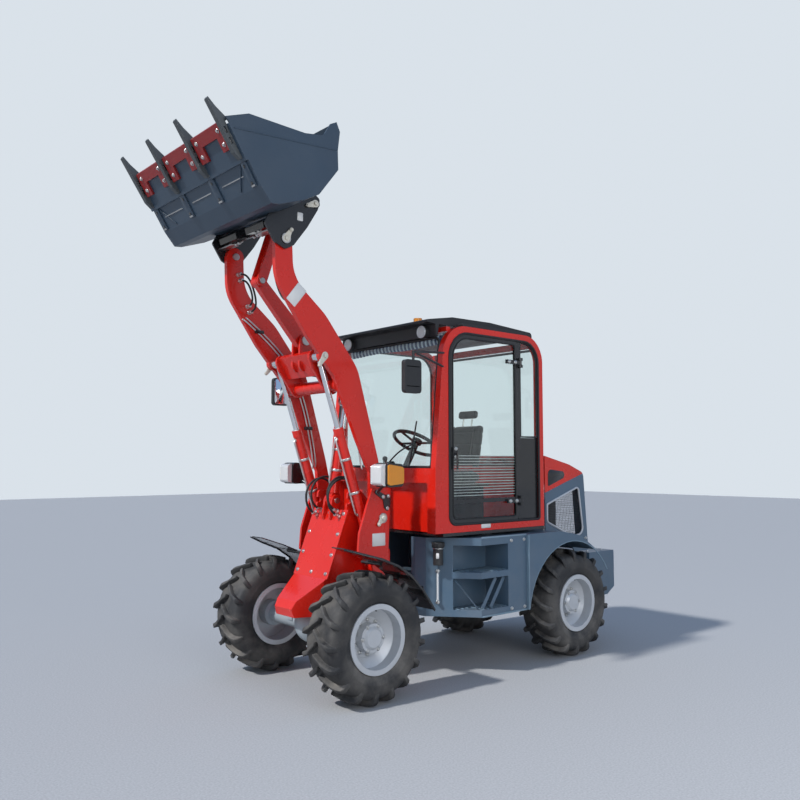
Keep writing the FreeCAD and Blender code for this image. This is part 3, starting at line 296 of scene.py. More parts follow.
def lug_at(turn, side):
    """Points and faces of one lug, at a turn about the axle and on one side of the tread."""
    points, faces = [], []
    for along, half, low_y, low_r, top_y, top_r in lug_rows:
        for y, r, reach in ((low_y, low_r, -half), (top_y, top_r, -half * 0.76), (top_y, top_r, half * 0.76),
                            (low_y, low_r, half)):
            angle = turn + (along - 0.048 + reach) / 0.405
            points.append((r * math.sin(angle), y * side, r * math.cos(angle)))
    for row in range(len(lug_rows) - 1):
        for i in range(4):
            k = (i + 1) % 4
            faces.append((row * 4 + i, row * 4 + k, row * 4 + 4 + k, row * 4 + 4 + i))
    last = len(points) - 4
    return points, faces + [(3, 2, 1, 0), (last, last + 1, last + 2, last + 3)]


lugs_per_side = 17
points, faces = [], []
for i in range(lugs_per_side):
    for side, share in ((1, i), (-1, i + 0.5)):
        more, sides = lug_at(2 * math.pi * share / lugs_per_side, side)
        faces += [[len(points) + k for k in face] for face in sides]
        points += more


def modify(piece, kind, **fields):
    """Adds a modifier and applies it."""
    modifier = piece.modifiers.new(kind.lower(), kind)
    for name, value in fields.items():
        setattr(modifier, name, value)
    bpy.context.view_layer.objects.active = piece
    bpy.ops.object.modifier_apply(modifier=modifier.name)
    return piece


def soften(piece, width, segments=2, angle=35):
    """Rounds the sharp edges."""
    modify(piece, "BEVEL", width=width, segments=segments, limit_method="ANGLE",
           angle_limit=math.radians(angle))
    return smooth(piece, angle + 5)


lugs = soften(outward(from_faces("lugs", points, faces)), 0.0035, angle=30)


def one(name, *pieces):
    """Joins pieces into one mesh."""
    bpy.ops.object.select_all(action="DESELECT")
    for piece in pieces:
        piece.select_set(True)
    bpy.context.view_layer.objects.active = pieces[0]
    if len(pieces) > 1:
        bpy.ops.object.join()
    joined = bpy.context.view_layer.objects.active
    joined.name = joined.data.name = name
    joined.select_set(False)
    return joined


tyre = one("tyre", carcass, lugs)


def settle(name):
    """The object that an operator just made, named, with its place put into its mesh."""
    piece = bpy.context.object
    piece.name = piece.data.name = name
    bpy.ops.object.transform_apply(location=True, rotation=True, scale=True)
    piece.select_set(False)
    return piece


def drum(name, start, end, radius, sides=32, edge=0.0015, end_radius=None):
    """A round bar or cone between two points."""
    start, end = Vector(start), Vector(end)
    bpy.ops.mesh.primitive_cone_add(vertices=sides, radius1=radius,
                                    radius2=radius if end_radius is None else end_radius,
                                    depth=(end - start).length, location=(start + end) / 2,
                                    rotation=(end - start).to_track_quat("Z", "Y").to_euler())
    piece = settle(name)
    return soften(piece, edge) if edge else piece


nut = one("nut", drum("nut_flats", (0, 0, 0), (0, 0, 0.014), 0.0125, sides=6, edge=0.001),
          drum("stud", (0, 0, 0), (0, 0, 0.022), 0.0062, sides=12, edge=0.001))
zinc = coated("zinc_plate", (0.66, 0.66, 0.64), gloss=0.30, metal=1.0, wear=0.0, dust=0.25, grain=0.05)
rubber = coated("black_rubber", (0.014, 0.014, 0.015), gloss=0.6, wear=0.0, dust=0.35, grain=0.3,
                grain_scale=260.0)
tread = coated("tyre_rubber", (0.021, 0.021, 0.022), gloss=0.66, wear=0.5, dust=1.0,
               under=(0.075, 0.072, 0.068), grain=0.5, grain_scale=190.0)


def curve_of(name, points, radius, closed=False, straight=False, fineness=3):
    """A round line through space: a spline that its points draw in, or straight runs between them."""
    data = bpy.data.curves.new(name, "CURVE")
    data.dimensions = "3D"
    data.bevel_depth = radius
    data.bevel_resolution = fineness
    data.use_fill_caps = True
    data.resolution_u = 8
    spline = data.splines.new("POLY" if straight else "NURBS")
    spline.points.add(len(points) - 1)
    for held, at in zip(spline.points, points):
        held.co = (*at, 1)
    spline.use_cyclic_u = closed
    if not straight:
        spline.order_u = 3
        spline.use_endpoint_u = not closed
    made = bpy.data.objects.new(name, data)
    bpy.context.collection.objects.link(made)
    return made


def meshed(curve):
    """The same piece as a mesh."""
    bpy.ops.object.select_all(action="DESELECT")
    curve.select_set(True)
    bpy.context.view_layer.objects.active = curve
    bpy.ops.object.convert(target="MESH")
    return smooth(bpy.context.object, 50)


def placed(model, name, places):
    """Copies of a small model in one mesh; each place is a point and the way the model's Z points."""
    mesh = bmesh.new()
    for at, out in places:
        turned = Matrix.Translation(Vector(at)) @ Vector(out).to_track_quat("Z", "Y").to_matrix().to_4x4()
        copy = model.data.copy()
        copy.transform(turned)
        mesh.from_mesh(copy)
        bpy.data.meshes.remove(copy)
    made = bpy.data.objects.new(name, bpy.data.meshes.new(name))
    mesh.to_mesh(made.data)
    mesh.free()
    bpy.context.collection.objects.link(made)
    return made


def mount(piece, body, material):
    """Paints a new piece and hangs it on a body."""
    piece.data.materials.clear()
    piece.data.materials.append(material)
    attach(piece, body)
    return piece


left, right, front, up = Vector((0, 1, 0)), Vector((0, -1, 0)), Vector((1, 0, 0)), Vector((0, 0, 1))

# The bolt that fastens nearly everything: a hexagon head on a washer, 19 mm across.
bolt = one("bolt", drum("head", (0, 0, 0.0015), (0, 0, 0.009), 0.0108, sides=6, edge=0.001),
           drum("washer", (0, 0, -0.002), (0, 0, 0.0018), 0.014, sides=20, edge=0.0006))
bolt.hide_render = True
bolt.hide_viewport = True


def bolted(name, rows, body):
    """Zinc-plated bolts on a body."""
    mount(placed(bolt, name, rows), body, zinc)


def bolt_circle(centre, count, radius, out, first=0.0):
    """Places round the axle, from the top; first is the first one's share of a step."""
    turns = [2 * math.pi * (i + first) / count for i in range(count)]
    return [(centre + (front * math.sin(turn) + up * math.cos(turn)) * radius, out) for turn in turns]


for name in ("front_left", "front_right", "rear_left", "rear_right"):
    side = 1 if "left" in name else -1
    centre = spot(1.025 if "front" in name else -1.025, side * 0.58, 0.415)
    copy = tyre.copy()
    copy.data = tyre.data.copy()
    copy.name = copy.data.name = "tread_" + name
    bpy.context.collection.objects.link(copy)
    copy.data.transform(Matrix.Translation(centre))
    mount(copy, "wheel_" + name, tread)
    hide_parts("tyre_" + name)
    rows = bolt_circle(centre + left * (side * 0.0165), 10, 0.110, left * side)
    mount(placed(nut, "nuts_" + name, rows), "wheel_" + name, zinc)
    rows = bolt_circle(centre + left * (side * 0.0785), 6, 0.083, left * side, 0.5)
    bolted("hub_screws_" + name, rows, "wheel_" + name)
    line = [centre + Vector((0, side * y, z)) for y, z in ((0.075, 0.188), (0.092, 0.183), (0.112, 0.176))]
    mount(meshed(curve_of("valve_" + name, line, 0.0045)), "wheel_" + name, rubber)
bpy.data.objects.remove(tyre)
bpy.data.objects.remove(nut)


# Rear chassis: welded slate plate with its cast axle and counterweight, the dark engine block
# between its rails, the pins of the centre joint and the two steering cylinders on them. The
# counterweight is held by four bolts from above.
slate = coated("slate_enamel", (0.075, 0.128, 0.185), gloss=0.34, coat=0.15, wear=0.45, dust=0.5,
               under=(0.30, 0.28, 0.26))
finish(slate, "rear_chassis", "rear_axle", "counterweight")
engine_grey = coated("engine_enamel", (0.07, 0.075, 0.08), gloss=0.5, wear=0.4, dust=0.5, grain=0.4)
finish(engine_grey, "engine")
steel = coated("ground_steel", (0.56, 0.55, 0.53), gloss=0.32, metal=1.0, wear=0.0, dust=0.2, grain=0.05)
finish(steel, "chassis_pins")
black = coated("black_enamel", (0.012, 0.013, 0.015), gloss=0.22, coat=0.4, wear=0.3, dust=0.35)
finish(black, "steer_barrel_left", "steer_barrel_right")
chrome = coated("hard_chrome", (0.80, 0.81, 0.83), gloss=0.10, metal=1.0, wear=0.0, dust=0.1, grain=0.02)
finish(chrome, "steer_rod_left", "steer_rod_right")
rows = [(spot(x, side * 0.42, 0.7595), up) for side in (1, -1) for x in (-1.56, -1.76)]
bolted("weight_bolts", rows, "rear_frame")


# Front frame: the red steel tower that carries the boom, with its bolts, keepers and a blank
# plate. Its nose plate is bolted on; drop plates keep the boom's pins from turning.
red = coated("red_enamel", (0.68, 0.014, 0.005), gloss=0.26, coat=0.3, wear=0.2, dust=0.08,
             under=(0.30, 0.05, 0.04), grain=0.03, grain_scale=60.0)
finish(red, "front_frame")
finish(steel, "front_pins")
pale_grey = coated("pale_grey_enamel", (0.36, 0.41, 0.44), gloss=0.35, coat=0.2, wear=0.3, dust=0.7)
finish(pale_grey, "front_axle")
finish(black, "front_fenders")
nose_top, nose_low = spot(0.885, 0, 1.200), spot(1.062, 0, 0.738)
nose_out = Vector((0.934, 0, 0.358))
rows = [(nose_top.lerp(nose_low, share) + Vector((0, y, 0)), nose_out)
        for share, y in ((0.06, -0.17), (0.06, 0), (0.06, 0.17), (0.36, -0.17), (0.36, 0.17), (0.66, -0.17),
                         (0.66, 0.17), (0.93, -0.17), (0.93, 0), (0.93, 0.17))]
bolted("nose_bolts", rows, "front_frame")
rows = [(spot(x, side * 0.3685, z), left * side) for side in (1, -1)
        for x, z in ((0.652, 1.296), (0.700, 1.292), (0.662, 1.212), (0.752, 1.328))]
rows += [(spot(x, side * 0.361, z), left * side) for side in (1, -1)
         for x, z in ((0.68, 0.74), (0.75, 0.745))]
bolted("tower_bolts", rows, "front_frame")


def sheet_of(name, outline, thick, edge=0.001):
    """A flat plate: its outline's points in order, thickened to the side of its normal."""
    piece = from_faces(name, outline, [range(len(outline))])
    modify(piece, "SOLIDIFY", thickness=thick, offset=1)
    return soften(piece, edge) if edge else piece


def keeper(name, at, out, tail, long=0.075):
    """Drop plate that stops a pin turning: a round head over the pin and a tail with one bolt."""
    at, out, tail = Vector(at), Vector(out), Vector(tail).normalized()
    across = out.cross(tail)
    outline = []
    for step in range(13):
        turn = math.radians(-100 + 200 * step / 12)
        outline.append(at + (-tail * math.cos(turn) + across * math.sin(turn)) * 0.026)
    for step in range(7):
        turn = math.radians(-80 + 160 * step / 6)
        outline.append(at + tail * (long + 0.011 * math.cos(turn)) - across * 0.011 * math.sin(turn))
    plate = sheet_of(name, outline, 0.006)
    knob = drum("knob", at, at + out * 0.012, 0.015)
    screw = placed(bolt, "screw", [(at + tail * long + out * 0.005, out)])
    return one(name, plate, knob, screw)


def rounded(rows, steps=6):
    """Outline points from (a, b) or (a, b, radius) rows; a radius rounds that corner."""
    points = []
    for i, row in enumerate(rows):
        at = Vector(row[:2])
        if len(row) < 3:
            points.append(at)
            continue
        before, after = Vector(rows[i - 1][:2]) - at, Vector(rows[(i + 1) % len(rows)][:2]) - at
        half = before.angle(after) / 2
        reach = row[2] / math.tan(half)
        start, end = at + before.normalized() * reach, at + after.normalized() * reach
        centre = at + (before.normalized() + after.normalized()).normalized() * (row[2] / math.sin(half))
        for step in range(steps + 1):
            way = (start - centre).lerp(end - centre, step / steps)
            points.append(centre + way.normalized() * row[2])
    return points


def label(name, centre, across, along, out):
    """A thin blank plate with rounded corners: across and along are its half sizes as vectors."""
    half_a, half_b = across.length, along.length
    rows = [(-half_a, -half_b, 0.006), (half_a, -half_b, 0.006), (half_a, half_b, 0.006),
            (-half_a, half_b, 0.006)]
    outline = [centre + across.normalized() * p.x + along.normalized() * p.y for p in rounded(rows, 3)]
    if across.cross(along).dot(out) < 0:
        outline.reverse()
    return sheet_of(name, outline, 0.0016, edge=0.0004)


ivory = coated("ivory_enamel", (0.66, 0.63, 0.54), gloss=0.4, wear=0.3, dust=0.2)
sides = (("left", 1), ("right", -1))
for name, side in sides:
    pin_end = spot(0.700, side * 0.3705, 1.145)
    mount(keeper("boom_pin_keeper_" + name, pin_end, left * side, (0.7, 0, -0.7), 0.06), "front_frame", ivory)
blank = coated("white_label", (0.74, 0.74, 0.72), gloss=0.35, wear=0.2, dust=0.3)
mount(label("tower_plate", spot(0.735, 0.3602, 0.998), front * 0.058, up * 0.044, left), "front_frame", blank)
# Hose and pipe fittings stand on the deck plate and on the nose.
port = one("port", drum("port_flats", (0, 0, -0.002), (0, 0, 0.016), 0.0165, sides=6, edge=0.001),
           drum("port_sleeve", (0, 0, 0.012), (0, 0, 0.050), 0.0118, sides=24, edge=0.0015))
port.hide_render = True
port.hide_viewport = True


def route_from(start, rows):
    """Side-view route: each row is a run's length and its angle above forward, in degrees."""
    points = [Vector(start)]
    for run, angle in rows:
        turn = math.radians(angle)
        points.append(points[-1] + Vector((run * math.cos(turn), 0, run * math.sin(turn))))
    return points


lean = math.degrees(math.atan2(0.177, 0.462))
# (kind, metres down the nose, metres from the middle, length, runs in millimetres and degrees)
tower_hose_rows = [
    ("inner", 0.016, 0.098, 0.691,
     [(65, lean), (80, 60), (90, 98), (90, 138), (90, 178), (90, 222), (110, 262), (88, 270)]),
    ("outer", 0.052, 0.134, 0.703,
     [(66, lean), (84, 58), (100, 94), (96, 136), (90, 176), (88, 220), (118, 260), (94, 270)]),
]
nose_way = (nose_low - nose_top).normalized()
for kind, down, y, long, runs in tower_hose_rows:
    for name, side in sides:
        start = nose_top + nose_way * down + left * (side * y)
        route = route_from(start, [(run / 1000, angle) for run, angle in runs])
        route[-1].z = 1.166
        hose = curve_of("tower_hose_" + kind + "_" + name, route, 0.008)
        ends = [(start, route[1] - route[0]), (route[-1], up)]
        fittings = placed(port, "tower_ports_" + kind + "_" + name, ends)
        mount(hose, "front_frame", rubber)
        mount(fittings, "front_frame", zinc)
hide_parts("tower_hoses")
# Front fenders: black pressed steel with a rolled outer edge.
fender_rows = [(-0.015, 0.918), (-0.155, 0.862), (-0.265, 0.790), (-0.365, 0.690), (-0.427, 0.610),
               (-0.472, 0.546)]
for name, side in sides:
    line = [spot(1.025 + a, side * 0.7305, z - 0.003) for a, z in fender_rows]
    line.insert(0, spot(1.025 + 0.172, side * 0.575, 0.977))
    mount(meshed(curve_of("fender_edge_" + name, line, 0.0055, straight=True)), "front_frame", black)


# Boom: two red arms with steel pipes along their inner faces, rubber hoses below the tips,
# and keepers on the lift pins. The blank label sits where the near arm carries one.
finish(red, "boom", "crank", "link")
finish(steel, "hitch_pins", "crank_pin", "link_pin", "tilt_base_pin")
for name, side in sides:
    pin_end = spot(1.180, side * 0.3335, 2.249)
    mount(keeper("lift_pin_keeper_" + name, pin_end, left * side, (0.55, 0, -0.83), 0.085), "boom", ivory)
tilted = Vector((0.62, 0, -0.78))
mount(label("arm_label", spot(1.415, 0.3332, 2.630), tilted * 0.075, tilted.cross(left) * 0.042, left),
      "boom", blank)
arm_hose_start, arm_hose_way = spot(1.420, 0, 2.640), Vector((0.3285, 0, 0.9445))
arm_hose_rows = [("short", 0.346, [(0, 0), (0, 65), (49, 114), (139, 114), (188, 65), (188, 0)]),
                 ("long", 0.484, [(-45, 0), (-45, 85), (19, 149), (168, 149), (232, 85), (232, 0)])]
for kind, long, rows in arm_hose_rows:
    for name, side in sides:
        route = [arm_hose_start + arm_hose_way * (far / 1000) + left * (side * (0.298 - inward / 1000))
                 for far, inward in rows]
        hose = curve_of("arm_hose_" + kind + "_" + name, route, 0.007)
        inward = right * side
        fittings = placed(port, "arm_ports_" + kind + "_" + name, [(route[0], inward), (route[-1], inward)])
        mount(hose, "boom", rubber)
        mount(fittings, "boom", zinc)
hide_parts("arm_hoses")
pipe_line = [(1.425, 2.560), (1.300, 2.470), (1.180, 2.375), (1.075, 2.270), (0.985, 2.130), (0.915, 1.960),
             (0.868, 1.790), (0.835, 1.640), (0.812, 1.500)]


def block(name, low, high, edge=0.002):
    """A block between two corners, its edges rounded."""
    low, high = Vector(low), Vector(high)
    bpy.ops.mesh.primitive_cube_add(size=1, location=(low + high) / 2)
    bpy.context.object.scale = [abs(side) for side in high - low]
    piece = settle(name)
    return soften(piece, edge) if edge else piece


for name, side in sides:
    parts = []
    for shift in (0, 0.024):
        route = [spot(x + shift, side * 0.2895, z - shift * 0.5) for x, z in pipe_line]
        route = [route[0] + left * (side * 0.012)] + route + [route[-1] + left * (side * 0.012)]
        parts.append(meshed(curve_of("run", route, 0.0058)))
    mount(one("arm_pipes_" + name, *parts), "boom", zinc)
    clips = []
    for x, z in ((1.312, 2.468), (0.997, 2.122), (0.880, 1.785)):
        low, high = spot(x - 0.030, side * 0.299, z - 0.012), spot(x + 0.040, side * 0.282, z + 0.012)
        clips.append(block("clip", low, high, 0.002))
    mount(one("arm_clips_" + name, *clips), "boom", black)


# Cylinders: red barrels with a wiper ring at the gland, clamp bands and a steel pipe from the
# base port along the front of each lift barrel.
finish(red, "tilt_barrel", "lift_barrel_left", "lift_barrel_right")
finish(chrome, "lift_rod_left", "lift_rod_right", "tilt_rod")


def barrel_trim(name, foot, eye, y, reach, radius, pipe_from, pipe_to):
    """Gland ring, bands and pipe along a barrel; distances run from the foot."""
    foot, eye = spot(foot[0], y, foot[1]), spot(eye[0], y, eye[1])
    line = (eye - foot).normalized()
    ahead = Vector((line.z, 0, -line.x))
    ring = drum("ring", foot + line * (reach - 0.004), foot + line * (reach + 0.003), radius - 0.006,
                edge=0.001)
    bands = [ring]
    for share in (0.28, 0.72):
        at = foot + line * (pipe_from + (pipe_to - pipe_from) * share)
        bands.append(drum("band", at - line * 0.009, at + line * 0.009, radius + 0.0015, edge=0.001))
        bands.append(block("pad", at - Vector((0.011, 0.009, 0.009)) + ahead * (radius + 0.006),
                           at + Vector((0.011, 0.009, 0.009)) + ahead * (radius + 0.006), 0.002))
    off = ahead * (radius + 0.013)
    route = [foot + line * pipe_from + ahead * (radius - 0.004), foot + line * pipe_from + off,
             foot + line * (pipe_from + 0.05) + off, foot + line * (pipe_to - 0.05) + off,
             foot + line * pipe_to + off, foot + line * pipe_to + ahead * (radius - 0.004)]
    pipe = meshed(curve_of(name + "_pipe", route, 0.0062))
    for at in (foot + line * pipe_from, foot + line * pipe_to):
        bands.append(drum("boss", at + ahead * (radius - 0.008), at + ahead * (radius + 0.005), 0.013,
                          sides=6))
    return one(name + "_bands", *bands), pipe


for name, side in sides:
    bands, pipe = barrel_trim("lift_" + name, (0.680, 0.800), (1.180, 2.249), side * 0.255, 1.023, 0.033,
                              0.40, 0.955)
    mount(bands, "lift_barrel_" + name, zinc)
    mount(pipe, "lift_barrel_" + name, zinc)
bands, pipe = barrel_trim("tilt", (0.869, 1.259), (0.742, 2.061), 0, 0.520, 0.040, 0.12, 0.46)
mount(bands, "tilt_barrel", zinc)
mount(pipe, "tilt_barrel", zinc)


# Bucket: a dark welded shell, grey cast teeth, bolted red edge segments and wear strips that
# the ground has rubbed bright. Rows run ahead of the lip along the floor and below its skin.
bucket_blue = coated("bucket_enamel", (0.036, 0.062, 0.094), gloss=0.42, coat=0.05, wear=0.7, dust=0.4,
                     under=(0.22, 0.22, 0.21), grain=0.3, grain_scale=70.0)
finish(bucket_blue, "bucket")
edge_red = coated("dark_red_enamel", (0.26, 0.012, 0.012), gloss=0.4, wear=0.9, dust=0.4,
                  under=(0.42, 0.40, 0.38), grain=0.25)
finish(edge_red, "bucket_edge")
finish(black, "hitch")
lip, floor_turn = spot(2.075, 0, 3.470), math.radians(57.7)
floor_way = Vector((math.cos(floor_turn), 0, math.sin(floor_turn)))
below_way = Vector((math.sin(floor_turn), 0, -math.cos(floor_turn)))


def on_floor(ahead, y, below):
    return lip + floor_way * ahead + left * y + below_way * below


def is_tooth(at, out):
    reach = at + Vector((mid_x, 0, 0)) - lip
    ahead, below = reach.dot(floor_way), reach.dot(below_way)
    nearest = min(abs(abs(at.y) - 0.20375), abs(abs(at.y) - 0.61125))
    return nearest < 0.0175 and ahead > -0.172 and (below > 0.0145 or ahead > 0.041)


tooth_grey = coated("tooth_steel", (0.085, 0.095, 0.10), gloss=0.5, metal=0.3, wear=1.0, dust=0.4,
                    under=(0.5, 0.49, 0.46), grain=0.4, grain_scale=90.0)


def repaint(name, material, where):
    """A second surface on the faces of a carried-over solid whose middle meets a rule."""
    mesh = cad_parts[name].data
    mesh.materials.append(material)
    for face in mesh.polygons:
        if where(face.center - Vector((mid_x, 0, 0)), face.normal):
            face.material_index = len(mesh.materials) - 1


repaint("bucket", tooth_grey, is_tooth)
parts, rubbed, holes = [], [], []


def flat_bar(name, start, end, wide, thick):
    """A flat bar between two points: wide and thick are vectors across it."""
    start, end, wide, thick = Vector(start), Vector(end), Vector(wide), Vector(thick)
    points = []
    for at in (start, end):
        for a, b in ((-0.5, -0.5), (0.5, -0.5), (0.5, 0.5), (-0.5, 0.5)):
            points.append(at + wide * a + thick * b)
    faces = [(3, 2, 1, 0), (4, 5, 6, 7), (0, 1, 5, 4), (1, 2, 6, 5), (2, 3, 7, 6), (3, 0, 4, 7)]
    return soften(outward(from_faces(name, points, faces)), 0.0015)


for y in (-0.61125, -0.20375, 0.20375, 0.61125):
    wide = 0.062 if abs(y) < 0.5 else 0.050
    parts.append(flat_bar("strip", on_floor(-0.188, y * 0.985, 0.006), on_floor(-0.345, y * 0.985, 0.006),
                          left * wide, below_way * 0.012))
    for ahead in (-0.215, -0.320):
        holes.append((on_floor(ahead, y * 0.985, 0.0125), below_way))
    rubbed.append(flat_bar("rub", on_floor(-0.330, y * 0.985, 0.0132), on_floor(-0.342, y * 0.985, 0.0132),
                           left * (wide * 0.7), below_way * 0.002))
for y in (-0.408, 0, 0.408):
    rubbed.append(flat_bar("rub", on_floor(-0.262, y - 0.13, 0.002), on_floor(-0.262, y + 0.13, 0.002),
                           floor_way * 0.007, below_way * 0.004))
for side in (1, -1):
    start, end = on_floor(-0.200, side * 0.56, 0.003), on_floor(-0.335, side * 0.44, 0.003)
    parts.append(flat_bar("gusset", start, end, floor_way * 0.012, below_way * 0.007))
mount(one("bucket_strips", *parts), "bucket", bucket_blue)
mount(one("bucket_rubbed_lines", *rubbed), "bucket", steel)
# Each bolt hole in the strips is a thin black disc on the strip's face: painted shade in place of the hole's
# dark inside.
hole_shade_disc = drum("hole_shade_disc", (0, 0, -0.001), (0, 0, 0.0012), 0.011, sides=24, edge=0.0004)
mount(placed(hole_shade_disc, "strip_hole_shade", holes), "bucket", black)
bpy.data.objects.remove(hole_shade_disc)
# The slots beside each tooth are thin black plates on its faces: painted shade in place of the gaps.
parts = []
for y in (-0.61125, -0.20375, 0.20375, 0.61125):
    for side in (1, -1):
        for ahead in (-0.055, 0.012):
            face = on_floor(ahead, y + side * 0.0172, 0.034)
            parts.append(flat_bar("slot", face - floor_way * 0.020, face + floor_way * 0.020, left * 0.002,
                                  below_way * 0.013))
mount(one("tooth_slot_shade", *parts), "bucket", black)
rows = [(on_floor(ahead, y + shift, 0.0305), below_way) for y in (-0.4075, 0, 0.4075)
        for shift in (-0.134, 0.134) for ahead in (-0.055, 0.030)]
bolted("edge_bolts", rows, "bucket")
for name, side in sides:
    y = side * 0.6545
    seam_line = [(2.070, 3.476), (1.80, 3.494), (1.55, 3.513), (1.33, 3.530)]
    seam = curve_of("side_seam_" + name, [spot(x, y, z) for x, z in seam_line],
                    0.005)
    mount(meshed(seam), "bucket", bucket_blue)
    rim_line = [(1.336, 3.706), (1.380, 3.684), (1.430, 3.606), (1.470, 3.588), (1.574, 3.577),
                (1.973, 3.588), (2.118, 3.532)]
    line = [spot(x, side * 0.649, z - 0.004) for x, z in rim_line]
    weld = meshed(curve_of("side_rim_" + name, line, 0.0052, straight=True))
    mount(weld, "bucket", bucket_blue)
    parts = [keeper("a", spot(1.514, side * 0.3622, 2.985), left * side, (-0.5, 0, 0.86), 0.07),
             keeper("b", spot(1.285, side * 0.3602, 3.262), left * side, (0.8, 0, -0.3), 0.07)]
    mount(one("hitch_keepers_" + name, *parts), "bucket", ivory)
    plate_at = spot(1.405, side * 0.3522, 3.150)
    mount(label("hitch_label_" + name, plate_at, front * 0.022, up * 0.028, left * side), "bucket", blank)
# The hitch's front plate box between its cheeks, with two small hydraulic couplings on it.
parts = []
for side in (1, -1):
    start, end = spot(1.60, side * 0.155, 3.030), spot(1.60, side * 0.335, 3.030)
    parts.append(flat_bar("web", start, end, front * 0.060, up * 0.010))
    for shift in (0.0, 0.045):
        at = spot(1.575, side * (0.10 + shift), 3.052)
        parts.append(drum("coupling", at, at + Vector((0.030, 0, -0.026)), 0.011, sides=6, edge=0.001))
mount(one("hitch_couplings", *parts), "bucket", steel)


# Cab: a red safety frame with black rubber round each pane, a black roof with its visor, two
# round work lamps and the amber beacon, a mirror on a tubular arm and a wiper.
finish(red, "cab_frame")
finish(black, "door_post", "door", "cab_floor")
plastic = coated("black_plastic", (0.017, 0.018, 0.020), gloss=0.46, wear=0.1, dust=0.4, grain=0.5,
                 grain_scale=420.0)
finish(plastic, "cab_roof", "mirrors", "roof_lamps")


def pane_of(name, colour, dirt):
    """Clear glass that lets the sun through, with a film of dust in patches."""
    material, tree, shader = shaded(name)
    shader.inputs["Transmission Weight"].default_value = 1
    shader.inputs["Base Color"].default_value = (*colour, 1)
    shader.inputs["IOR"].default_value = 1.45
    film = put(tree, "TexNoise", Vector=put(tree, "TexCoord").outputs["Object"], Scale=4.0, Detail=8.0)
    rough = ranged(tree, film.outputs["Fac"], 0.35, 0.75, 0.0, dirt)
    tree.links.new(rough.outputs[0], shader.inputs["Roughness"])
    clear = put(tree, "BsdfTransparent", Color=(*colour, 1))
    sun_ray = put(tree, "LightPath")
    mixed = put(tree, "MixShader", Fac=sun_ray.outputs["Is Shadow Ray"])
    tree.links.new(shader.outputs[0], mixed.inputs[1])
    tree.links.new(clear.outputs[0], mixed.inputs[2])
    tree.links.new(mixed.outputs[0], tree.nodes["Material Output"].inputs["Surface"])
    return material


glass = pane_of("safety_glass", (0.90, 0.955, 0.94), 0.035)
finish(glass, "cab_glass", "door_glass")

# The ribs moulded into a lamp's lens.
ribbing, given, result = effect("ribbing", [("Pitch", "value"), ("Depth", "value")], [("Normal", "vector")])
ridge = put(ribbing, "TexWave", {"bands_direction": "Y"}, Vector=put(ribbing, "TexCoord").outputs["Object"],
            Scale=given["Pitch"])
raised = put(ribbing, "Bump", Strength=given["Depth"], Distance=0.002, Height=ridge.outputs["Fac"])
ribbing.links.new(raised.outputs[0], result["Normal"])


def lens_of(name, colour, through, roughness=0.12):
    """A moulded lamp lens with ribs inside it."""
    material, tree, shader = shaded(name)
    group = put(tree, "Group", {"node_tree": ribbing}, Pitch=60.0, Depth=0.5)
    tree.links.new(group.outputs["Normal"], shader.inputs["Normal"])
    shader.inputs["Base Color"].default_value = (*colour, 1)
    shader.inputs["Transmission Weight"].default_value = through
    shader.inputs["Roughness"].default_value = roughness
    shader.inputs["Coat Weight"].default_value = 0.8
    return material


clear_lens = lens_of("clear_lens", (0.92, 0.93, 0.92), 0.35)
repaint("roof_lamps", clear_lens, lambda at, out: at.x > 0.4025 and at.z < 2.53)
amber_lens = lens_of("amber_lens", (0.95, 0.36, 0.01), 0.35)
repaint("roof_lamps", amber_lens, lambda at, out: at.z > 2.6125 and at.x < 0.2)
opening = [(-0.682, 1.090, 0.020), (-0.682, 2.472, 0.160), (0.300, 2.472, 0.190), (0.300, 1.090, 0.060)]


def bead(name, rows, place, radius):
    """A rubber bead round an outline; place turns each outline point into one in space."""
    return meshed(curve_of(name, [place(p.x, p.y) for p in rounded(rows)], radius, closed=True,
                           straight=True))


mount(bead("door_seal", opening, lambda a, b: spot(a, 0.6195, b), 0.0095), "rear_frame", rubber)
mount(bead("right_seal", opening, lambda a, b: spot(a, -0.6195, b), 0.0105), "rear_frame", rubber)
quarter = [(-0.672, 1.728, 0.010), (-0.672, 2.462, 0.150), (-0.480, 2.462), (-0.480, 1.728)]
mount(bead("quarter_seal", quarter, lambda a, b: spot(a, 0.6075, b), 0.0075), "rear_frame", rubber)
pane = [(-0.407, 1.127, 0.015), (-0.407, 2.436, 0.020), (0.264, 2.436, 0.160), (0.264, 1.127, 0.040)]
mount(bead("door_pane_seal", pane, lambda a, b: spot(a, 0.6205, b), 0.0050), "door", rubber)


def shield(z):
    """X of the windshield's outer face at a height."""
    return 0.423 - (z - 1.490) * 0.0909


def upright_rows(a0, b0, a1, b1, low, high):
    """An upright pane's outline, with one radius for its lower corners and one for its upper ones."""
    return [(a0, b0, low), (a0, b1, high), (a1, b1, high), (a1, b0, low)]


window = upright_rows(-0.562, 1.498, 0.562, 2.432, 0.020, 0.050)
mount(bead("windshield_seal", window, lambda a, b: spot(shield(b) + 0.002, a, b), 0.0105), "rear_frame",
      rubber)
window = upright_rows(-0.562, 1.508, 0.562, 2.432, 0.030, 0.050)
mount(bead("rear_seal", window, lambda a, b: spot(-0.7365, a, b), 0.0105), "rear_frame", rubber)
